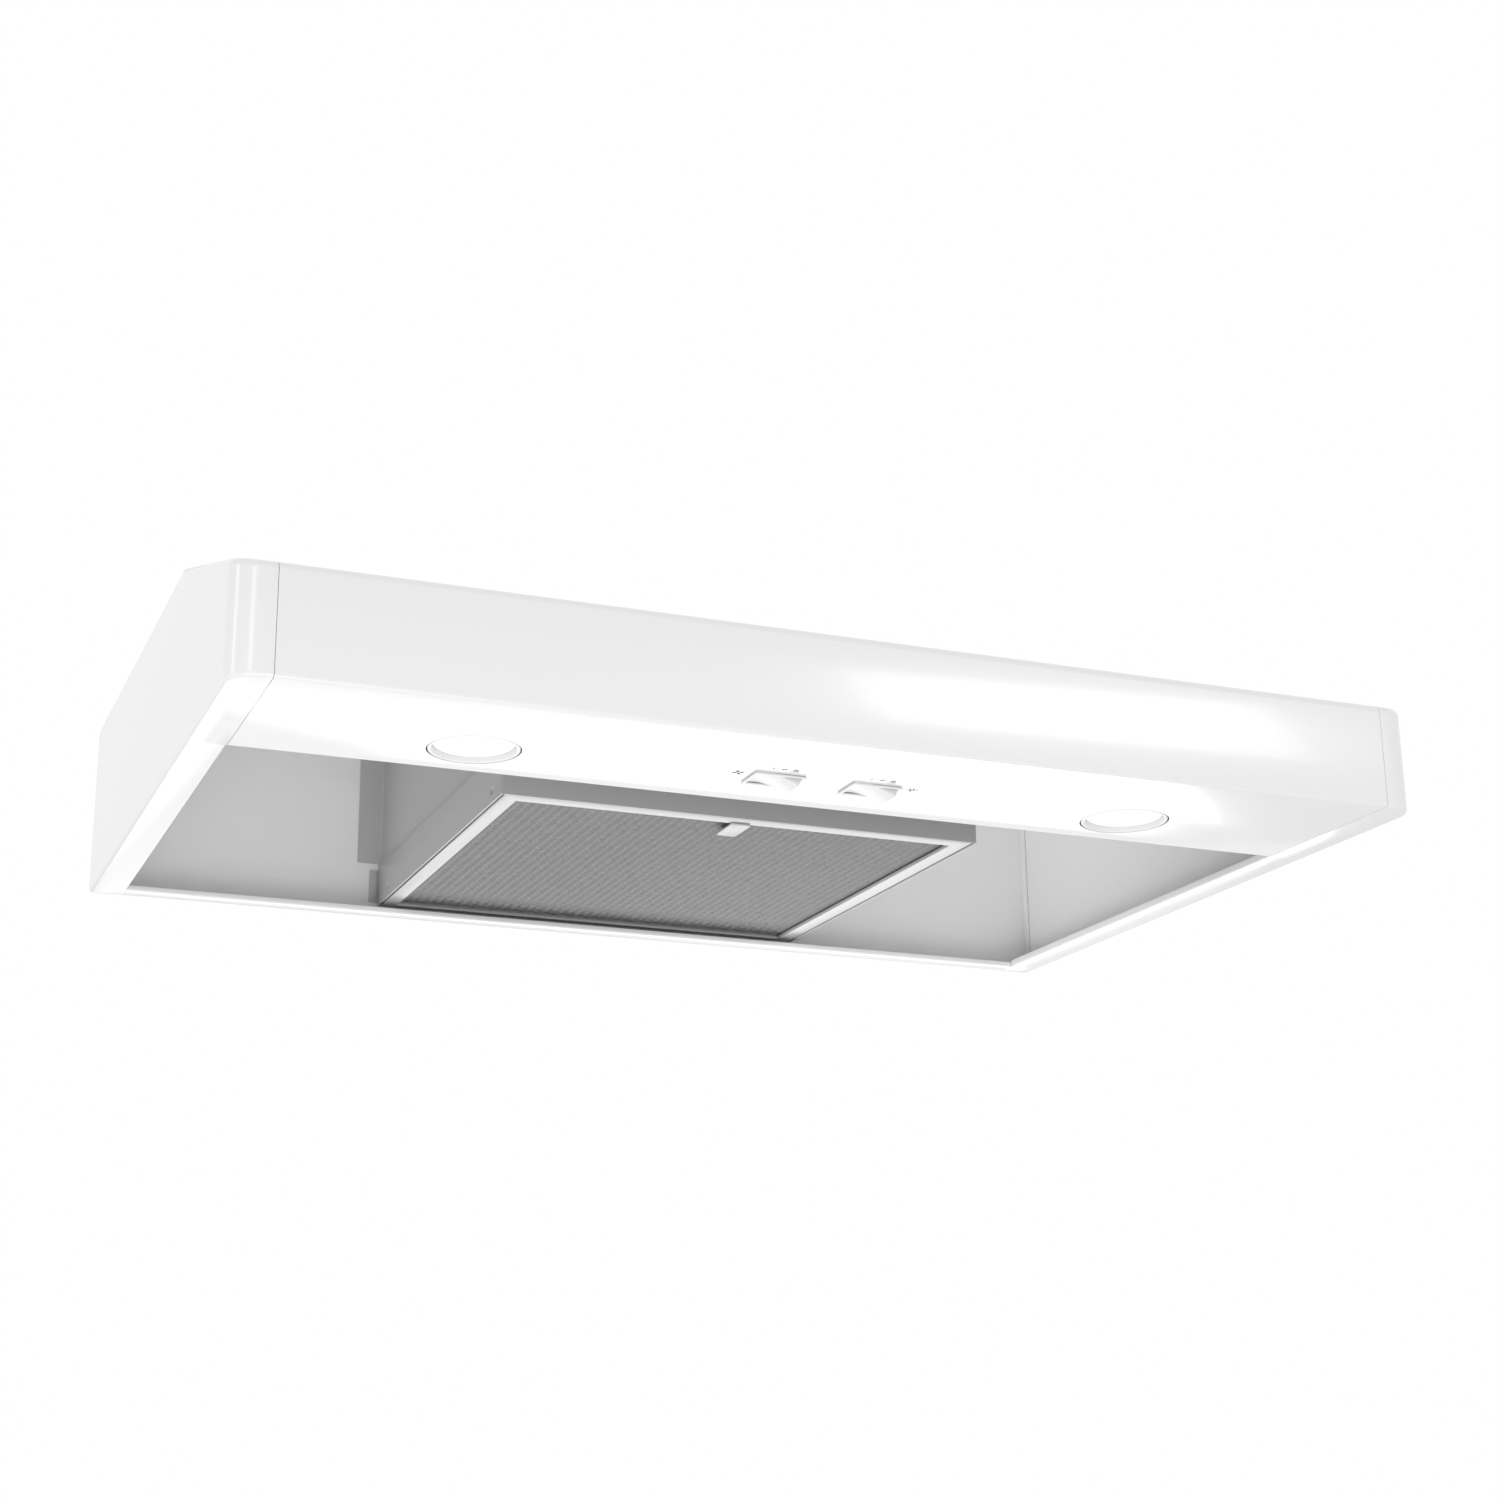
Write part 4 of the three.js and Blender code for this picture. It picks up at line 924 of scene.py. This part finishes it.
def mesh_tile(bm, x, y, sizes):
    """One hole of the mesh with the strands round it, tilted as expanding the sheet tilts them."""
    across, deep = sizes.pitch_across / 2, sizes.pitch_deep / 2
    outer = [
        (across, 0), (across, deep), (0, deep), (-across, deep),
        (-across, 0), (-across, -deep), (0, -deep), (across, -deep),
    ]
    verts = []
    for i, (u, v) in enumerate(outer):
        sine, cosine = math.sin(i * math.pi / 4), math.cos(i * math.pi / 4)
        place = (x + sizes.hole * cosine, y + sizes.hole_ratio * sizes.hole * sine, sizes.strand_lift * sine)
        verts.append((bm.verts.new((x + u, y + v, 0)), bm.verts.new(place)))
    for (outer_a, inner_a), (outer_b, inner_b) in zip(verts, verts[1:] + verts[:1]):
        bm.faces.new((outer_a, inner_a, inner_b, outer_b))


def mesh_reach(sizes):
    """The mesh's left, right, front and back edges, hidden inside the frame's channel."""
    low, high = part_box("filter_frame")
    margin = sizes.border - sizes.grip
    return low.x + margin, high.x - margin, low.y + margin, high.y - sizes.rear_border / 2


def add_filter_mesh():
    """Expanded aluminium mesh: staggered columns of holes between tilted strands."""
    sizes = settings("filter")
    left, right, front, back = mesh_reach(sizes)
    columns = int((right - left) / sizes.pitch_across)
    rows = int((back - front) / sizes.pitch_deep)
    bm = bmesh.new()
    for column in range(columns + 1):
        x = (left + right) / 2 + (column - columns / 2) * sizes.pitch_across
        shift = sizes.pitch_deep / 2 * (column % 2)
        for row in range(rows + 1):
            mesh_tile(bm, x, (front + back) / 2 + (row - rows / 2) * sizes.pitch_deep - shift, sizes)
    bmesh.ops.remove_doubles(bm, verts=bm.verts, dist=NEAR * 10)
    bmesh.ops.translate(bm, verts=bm.verts, vec=(0, 0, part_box("filter_frame")[0].z + sizes.recess))
    face_down(bm)
    piece_from(
        bm, "filter_mesh_expanded", "grease_filter", "mesh", ("filter_mesh",), sharp=50, solidify=sizes.strand
    )


def add_filter_backing():
    """The filter's inner layers, crimped into close ridges behind the face mesh."""
    sizes = settings("filter")
    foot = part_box("filter_frame")[0].z + sizes.recess
    left, right, front, back = mesh_reach(sizes)
    ridges = int((right - left) / sizes.ridge_pitch)
    points = []
    for i in range(2 * ridges + 1):
        x = left + (right - left) * i / (2 * ridges)
        points.append((x, front, foot + (sizes.ridge_top if i % 2 else sizes.ridge_foot)))
    bm = bmesh.new()
    grow_edges(bm, line_of(bm, points)[1], (0, back - front, 0))
    face_down(bm)
    # The layers' near-black finish is painted shade behind the face mesh.
    piece_from(
        bm, "filter_inner_layers", "grease_filter", "mesh", finish_slot="inner_layers", sharp=20,
        solidify=sizes.strand,
    )


def add_filter_tab():
    """A finger tab with rounded corners."""
    sizes = settings("filter")
    low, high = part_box("filter_tab")
    bm = bmesh.new()
    box(bm, low, high)
    bend(bm, upright_edges(bm), sizes.tab_corner, 6)
    bend(bm, folds(bm, least=RIGHT_ANGLES), sizes.tab_edge, 2)
    piece_from(bm, "filter_tab_pressed", "grease_filter", "aluminium", ("filter_tab",))


# ---- Lamps ----

RING_HEIGHT = 0.006
RING_EDGE = 0.0008
LENS_GAP = 0.0006
LENS_RIPPLE = 0.0004
LAMP_HEIGHT = 0.047
# The lens edge: (share of the lens radius, height above the lens).
LENS_EDGE = ((0.94, -0.0001), (0.985, 0.0005), (1, 0.0016), (1, 0.0045), (0.985, 0.0052), (0.9, 0.0056))
# The reflector runs from the lens edge up to these shares of the lens radius and the lamp's height.
NECK_RADIUS = 0.38
NECK_HEIGHT = 0.68
NECK_CURVE = 1.4
# The lamp's base: (radius, share of the lamp's height).
LAMP_BASE = ((0.0098, 0.72), (0.0086, 0.76), (0.0085, 1), (0, 1))
PIN = ((0, 0), (0.0012, 0), (0.0012, 0.0035), (0.0015, 0.0036), (0.0015, 0.0058), (0, 0.006))
PIN_SPREAD = 0.005
PIN_SEAT = 0.0001


def add_lamp(side, name):
    """A trim ring and a frosted reflector lamp with its base and pins."""
    fittings = settings("fittings")
    centre = Vector((side * LAMP_X, LAMP_Y, BASE))
    outer = fittings.lamp_hole - fittings.ring_gap
    inner = outer - fittings.ring_wall
    profile = [(inner, RING_HEIGHT)]
    profile += arc((inner + RING_EDGE, RING_EDGE), RING_EDGE, math.pi, 1.5 * math.pi, 4)
    profile += arc((outer - RING_EDGE, RING_EDGE), RING_EDGE, 1.5 * math.pi, 2 * math.pi, 4)
    profile += [(outer, RING_HEIGHT), (inner, RING_HEIGHT)]
    bm = bmesh.new()
    lathe(bm, profile, centre, 96)
    piece_from(bm, "lamp_ring_moulded_" + name, "canopy", "white_plastic", ("lamp_ring_" + name,))

    lens = inner - LENS_GAP
    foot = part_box("lamp_" + name)[0].z - BASE
    rim, start = LENS_EDGE[-1]
    profile = [(0, foot)]
    profile += [(lens * rim * i / 10, foot + LENS_RIPPLE * (i % 2)) for i in range(1, 11)]
    profile += [(lens * share, foot + z) for share, z in LENS_EDGE]
    for i in range(1, 9):
        radius = rim - (rim - NECK_RADIUS) * (i / 8) ** NECK_CURVE
        profile.append((lens * radius, foot + start + (LAMP_HEIGHT * NECK_HEIGHT - start) * i / 8))
    profile += [(radius, foot + LAMP_HEIGHT * share) for radius, share in LAMP_BASE]
    bm = bmesh.new()
    lathe(bm, profile, centre, 96)
    for dx in (-PIN_SPREAD, PIN_SPREAD):
        pin = bmesh.new()
        lathe(pin, PIN, centre + Vector((dx, 0, foot + LAMP_HEIGHT - PIN_SEAT)), 16)
        join(bm, pin)
    piece_from(bm, "lamp_frosted_" + name, name + "_lamp", "lens", ("lamp_" + name,))


# ---- Switches ----


def add_switch(job):
    add_bezel(job)
    add_rocker(job)


def add_bezel(job):
    """A switch's bezel, with a wider slot along the rocker's front side."""
    fittings = settings("fittings")
    low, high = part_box("switch_bezel_" + job)
    middle = (low + high) / 2
    slot, snug = fittings.rocker_slot, fittings.rocker_gap
    window = (fittings.rocker_radius + snug, fittings.rocker_half + slot, fittings.rocker_half + snug)
    half = ((high.x - low.x) / 2, (high.y - low.y) / 2, (high.y - low.y) / 2)
    frames = [
        (middle.x - half_x, middle.y - half_y, middle.x + half_x, middle.y + rear_y, z)
        for (half_x, half_y, rear_y), z in (
            (half, high.z), (half, low.z), (window, low.z), (window, high.z)
        )
    ]
    bm = bmesh.new()
    square_bands(bm, frames, closed=True)
    bmesh.ops.recalc_face_normals(bm, faces=bm.faces)
    bend(bm, upright_edges(bm), fittings.bezel_corner, 5)
    bend(bm, folds(bm, least=RIGHT_ANGLES), fittings.bezel_edge, 3)
    piece_from(bm, "switch_bezel_moulded_" + job, "canopy", "white_plastic", ("switch_bezel_" + job,))


def add_rocker(job):
    """A dished rocker, round at its ends about its pivot, tilted to its stop."""
    fittings = settings("fittings")
    joint = next(joint for joint in frame["joints"] if joint["child"] == job + "_rocker")
    low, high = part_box("rocker_" + job)
    width = high.y - low.y
    radius, rise, drop = fittings.rocker_radius, fittings.rocker_rise, fittings.rocker_drop
    end_x = math.sqrt(radius**2 - drop**2)
    top_angle = math.asin(rise / radius)
    end_angle = math.asin(drop / radius)
    dish = fittings.rocker_dish
    dish_z = -drop - math.sqrt(dish**2 - end_x**2)
    half_dish = math.asin(end_x / dish)
    outline = arc((0, 0), radius, -end_angle, top_angle, 8)
    outline += arc((0, 0), radius, math.pi - top_angle, math.pi + end_angle, 8)
    outline += arc((0, dish_z), dish, math.pi / 2 + half_dish, math.pi / 2 - half_dish, 16)[1:-1]
    bm = bmesh.new()
    prism(bm, [(u, -width / 2, v) for u, v in outline], (0, width, 0))
    bend(bm, folds(bm, least=0.6), fittings.rocker_edge, 3)
    place = Matrix.Translation(joint["pos_m"]) @ Matrix.Rotation(fittings.rocker_tilt, 4, "Y")
    bmesh.ops.transform(bm, verts=bm.verts, matrix=place)
    piece_from(bm, "rocker_moulded_" + job, job + "_rocker", "white_plastic", ("rocker_" + job,))


MARKS_AHEAD = 0.0205
MARK_I_X = -0.0085
MARK_O_X = -0.0015
MARK_II_X = (0.0052, 0.0068)
INK = 0.00006
FAN_SYMBOL = Vector((-0.0255, -0.0055, 0))
LAMP_SYMBOL = Vector((0.0243, -0.0085, 0))


def add_marks():
    """Printed position marks I, O and II in front of each switch, and a fan and a lamp symbol."""
    fittings = settings("fittings")
    tall, stroke, reach = fittings.mark_height, fittings.mark_stroke, fittings.symbol_radius
    bm = bmesh.new()

    def bar(x, y, width, depth):
        box(bm, (x - width / 2, y - depth / 2, BASE - INK), (x + width / 2, y + depth / 2, BASE + INK))

    def ring(x, y, radius):
        profile = [(radius - stroke, -INK), (radius, -INK), (radius, INK), (radius - stroke, INK)]
        part = bmesh.new()
        lathe(part, profile + profile[:1], Vector((x, y, BASE)), 24)
        join(bm, part)

    def turned(part, centre, angle):
        turn = Matrix.Translation((centre.x, centre.y, BASE)) @ Matrix.Rotation(angle, 4, "Z")
        bmesh.ops.transform(part, verts=part.verts, matrix=turn)
        join(bm, part)

    for job in ("fan", "light"):
        middle = middle_of("switch_body_" + job)
        y = middle.y - MARKS_AHEAD
        bar(middle.x + MARK_I_X, y, stroke, tall)
        ring(middle.x + MARK_O_X, y, tall / 2)
        for x in MARK_II_X:
            bar(middle.x + x, y, stroke, tall)

    fan = middle_of("switch_body_fan") + FAN_SYMBOL
    for i in range(4):
        lobe = bmesh.new()
        cylinder(lobe, (0, 0, 0), reach * 0.36, 2 * INK, 20)
        bmesh.ops.scale(lobe, verts=lobe.verts, vec=(1.25, 0.8, 1))
        bmesh.ops.translate(lobe, verts=lobe.verts, vec=(reach * 0.62, reach * 0.2, 0))
        turned(lobe, fan, math.pi * (i / 2 + 1 / 4))
    lamp = middle_of("switch_body_light") + LAMP_SYMBOL
    ring(lamp.x, lamp.y, reach * 0.55)
    bar(lamp.x, lamp.y + reach * 0.78, reach * 0.5, stroke)
    for i in range(5):
        ray = bmesh.new()
        box(ray, (reach * 0.78, -stroke / 2, -INK), (reach * 1.1, stroke / 2, INK))
        turned(ray, lamp, math.pi * (1 + i / 4))
    piece_from(bm, "printed_marks", "canopy", "dark_plastic", finish_slot="print")


# ---- Carried-over parts ----


def dress_frame_parts():
    """Gives each engineering part that still shows the finish of its slot."""
    slots = {row["node"]: row["material_slot"] for row in frame["record"]["subparts"]}
    for node, part in frame["nodes"].items():
        part.data.materials.clear()
        part.data.materials.append(material(slots[node]))


# ---- Stage ----


def add_floor():
    bm = bmesh.new()
    bmesh.ops.create_grid(bm, x_segments=2, y_segments=2, size=FLOOR_REACH)
    bmesh.ops.translate(bm, verts=bm.verts, vec=(0, 0, -settings("stage").floor_drop))
    floor = object_from(bm, "floor")
    floor.data.materials.append(material("floor"))


def add_world():
    """A white surround for the camera and for reflections, and an even, softer light on the object."""
    world = bpy.data.worlds.new("Studio")
    bpy.context.scene.world = world
    world.use_nodes = True
    nodes, links = world.node_tree.nodes, world.node_tree.links
    background = nodes["Background"]
    background.inputs["Color"].default_value = (1, 1, 1, 1)
    rays = nodes.new("ShaderNodeLightPath")
    seen = nodes.new("ShaderNodeMath")
    seen.operation = "MAXIMUM"
    through = nodes.new("ShaderNodeMath")
    through.operation = "MAXIMUM"
    level = nodes.new("ShaderNodeMapRange")
    level.inputs["To Min"].default_value = settings("stage").sky
    level.inputs["To Max"].default_value = 1.0
    links.new(rays.outputs["Is Camera Ray"], seen.inputs[0])
    links.new(rays.outputs["Is Glossy Ray"], seen.inputs[1])
    links.new(seen.outputs[0], through.inputs[0])
    links.new(rays.outputs["Is Transmission Ray"], through.inputs[1])
    links.new(through.outputs[0], level.inputs["Value"])
    links.new(level.outputs["Result"], background.inputs["Strength"])


SOFT_LIGHTS = (
    ("Key", (1.65, -2.9, 0.88), (0.13, -0.34, -0.09), (0.8, 0.5)),
    ("Under", (-0.4, -0.7, -1.5), (0.05, -0.1, -0.1), (1.6, 1.6)),
    ("Strip", (-1.98, -2.29, 0.79), (-0.37, -0.33, -0.09), (0.5, 1.4)),
    ("Fill", (-2.87, 0.08, 0.79), (-0.37, -0.33, -0.09), (0.5, 1.4)),
    ("Sheen", (0.87, 2.5, -1.22), (0.0, -0.27, -0.12), (2.26, 0.6)),
    ("Inside", (-0.08, -0.02, -0.42), (0.378, 0.1, -0.05), (0.2, 0.2)),
)
INSIDE_SPREAD = math.radians(70)


def add_area_light(name, place, target, size, watts):
    light = bpy.data.lights.new(name, "AREA")
    light.shape = "RECTANGLE"
    light.size, light.size_y = size
    light.energy = watts
    lamp = bpy.data.objects.new(name, light)
    lamp.location = place
    lamp.rotation_euler = (Vector(target) - Vector(place)).to_track_quat("-Z", "Y").to_euler()
    lamp.visible_camera = False
    bpy.context.scene.collection.objects.link(lamp)
    return lamp


def add_camera():
    camera = bpy.data.cameras.new("camera")
    camera.sensor_width = 36
    camera.lens = 59.44
    camera.shift_x = 0.0886
    camera.shift_y = 0.0087
    camera.clip_end = 50
    eye = bpy.data.objects.new("camera", camera)
    eye.location = (-0.60519, -1.58162, -0.56152)
    eye.rotation_euler = [math.radians(angle) for angle in (107.2735, -0.1964, -19.7928)]
    bpy.context.scene.collection.objects.link(eye)
    bpy.context.scene.camera = eye


# ---- Operators ----


class HOOD_OT_end_panels(bpy.types.Operator):
    """Make the two wrapped end panels"""

    bl_idname = "hood.end_panels"
    bl_label = "End panels"

    def execute(self, context):
        add_end_panel(-1, "left_end_panel")
        add_end_panel(1, "right_end_panel")
        return {"FINISHED"}


class HOOD_OT_front_panel(bpy.types.Operator):
    """Make the front panel and its lip"""

    bl_idname = "hood.front_panel"
    bl_label = "Front panel"

    def execute(self, context):
        add_front_panel()
        return {"FINISHED"}


class HOOD_OT_top_panel(bpy.types.Operator):
    """Make the sloping and flat top panel"""

    bl_idname = "hood.top_panel"
    bl_label = "Top panel"

    def execute(self, context):
        add_top_panel()
        return {"FINISHED"}


class HOOD_OT_back_panel(bpy.types.Operator):
    """Make the back panel"""

    bl_idname = "hood.back_panel"
    bl_label = "Back panel"

    def execute(self, context):
        add_back_panel()
        return {"FINISHED"}


class HOOD_OT_filter_skirt(bpy.types.Operator):
    """Make the skirt that holds the filter"""

    bl_idname = "hood.filter_skirt"
    bl_label = "Filter skirt"

    def execute(self, context):
        add_filter_skirt()
        add_skirt_ears()
        return {"FINISHED"}


class HOOD_OT_air_box(bpy.types.Operator):
    """Make the air box above the filter"""

    bl_idname = "hood.air_box"
    bl_label = "Air box"

    def execute(self, context):
        add_air_box()
        return {"FINISHED"}


class HOOD_OT_filter(bpy.types.Operator):
    """Make the grease filter"""

    bl_idname = "hood.filter"
    bl_label = "Grease filter"

    def execute(self, context):
        add_filter_frame()
        add_filter_mesh()
        add_filter_backing()
        add_filter_tab()
        return {"FINISHED"}


class HOOD_OT_lamps(bpy.types.Operator):
    """Make the two recessed lamps"""

    bl_idname = "hood.lamps"
    bl_label = "Lamps"

    def execute(self, context):
        add_lamp(-1, "left")
        add_lamp(1, "right")
        return {"FINISHED"}


class HOOD_OT_switches(bpy.types.Operator):
    """Make the two rocker switches and their printed marks"""

    bl_idname = "hood.switches"
    bl_label = "Switches"

    def execute(self, context):
        add_switch("fan")
        add_switch("light")
        add_marks()
        return {"FINISHED"}


class HOOD_OT_frame_finishes(bpy.types.Operator):
    """Give the engineering parts that still show their finishes"""

    bl_idname = "hood.frame_finishes"
    bl_label = "Frame finishes"

    def execute(self, context):
        dress_frame_parts()
        return {"FINISHED"}


class HOOD_OT_stage(bpy.types.Operator):
    """Set up the studio: floor, surround, soft lights and camera"""

    bl_idname = "hood.stage"
    bl_label = "Studio"

    def execute(self, context):
        stage = settings("stage")
        add_floor()
        add_world()
        for name, place, target, size in SOFT_LIGHTS:
            lamp = add_area_light(name + " light", place, target, size, getattr(stage, name.lower()))
            if name == "Inside":
                lamp.data.spread = INSIDE_SPREAD
        add_camera()
        context.scene.view_settings.view_transform = "Standard"
        return {"FINISHED"}


class HOOD_PT_panel(bpy.types.Panel):
    """Lists the steps that make the hood"""

    bl_idname = "HOOD_PT_panel"
    bl_label = "Range hood"
    bl_space_type = "VIEW_3D"
    bl_region_type = "UI"
    bl_category = "Range hood"

    def draw(self, context):
        for operator in OPERATORS:
            self.layout.operator(operator.bl_idname)
        for name in GROUPS:
            group = settings(name)
            part = self.layout.box()
            part.label(text=name.title())
            for key in group.bl_rna.properties.keys():
                if key not in ("rna_type", "name"):
                    part.prop(group, key)


GROUPS = {
    "canopy": HoodCanopySizes,
    "filter": HoodFilterSizes,
    "fittings": HoodFittingSizes,
    "colours": HoodColours,
    "stage": HoodStageSettings,
}
OPERATORS = (
    HOOD_OT_frame_finishes,
    HOOD_OT_end_panels,
    HOOD_OT_front_panel,
    HOOD_OT_top_panel,
    HOOD_OT_back_panel,
    HOOD_OT_filter_skirt,
    HOOD_OT_air_box,
    HOOD_OT_filter,
    HOOD_OT_lamps,
    HOOD_OT_switches,
    HOOD_OT_stage,
)
CLASSES = (*GROUPS.values(), *OPERATORS, HOOD_PT_panel)


def register():
    for cls in CLASSES:
        bpy.utils.register_class(cls)
    for name, group in GROUPS.items():
        setattr(bpy.types.Scene, "hood_" + name, PointerProperty(type=group))


def unregister():
    for name in GROUPS:
        delattr(bpy.types.Scene, "hood_" + name)
    for cls in reversed(CLASSES):
        bpy.utils.unregister_class(cls)


def main():
    register()
    for operator in OPERATORS:
        module, name = operator.bl_idname.split(".")
        getattr(getattr(bpy.ops, module), name)()


if __name__ == "__main__":
    main()
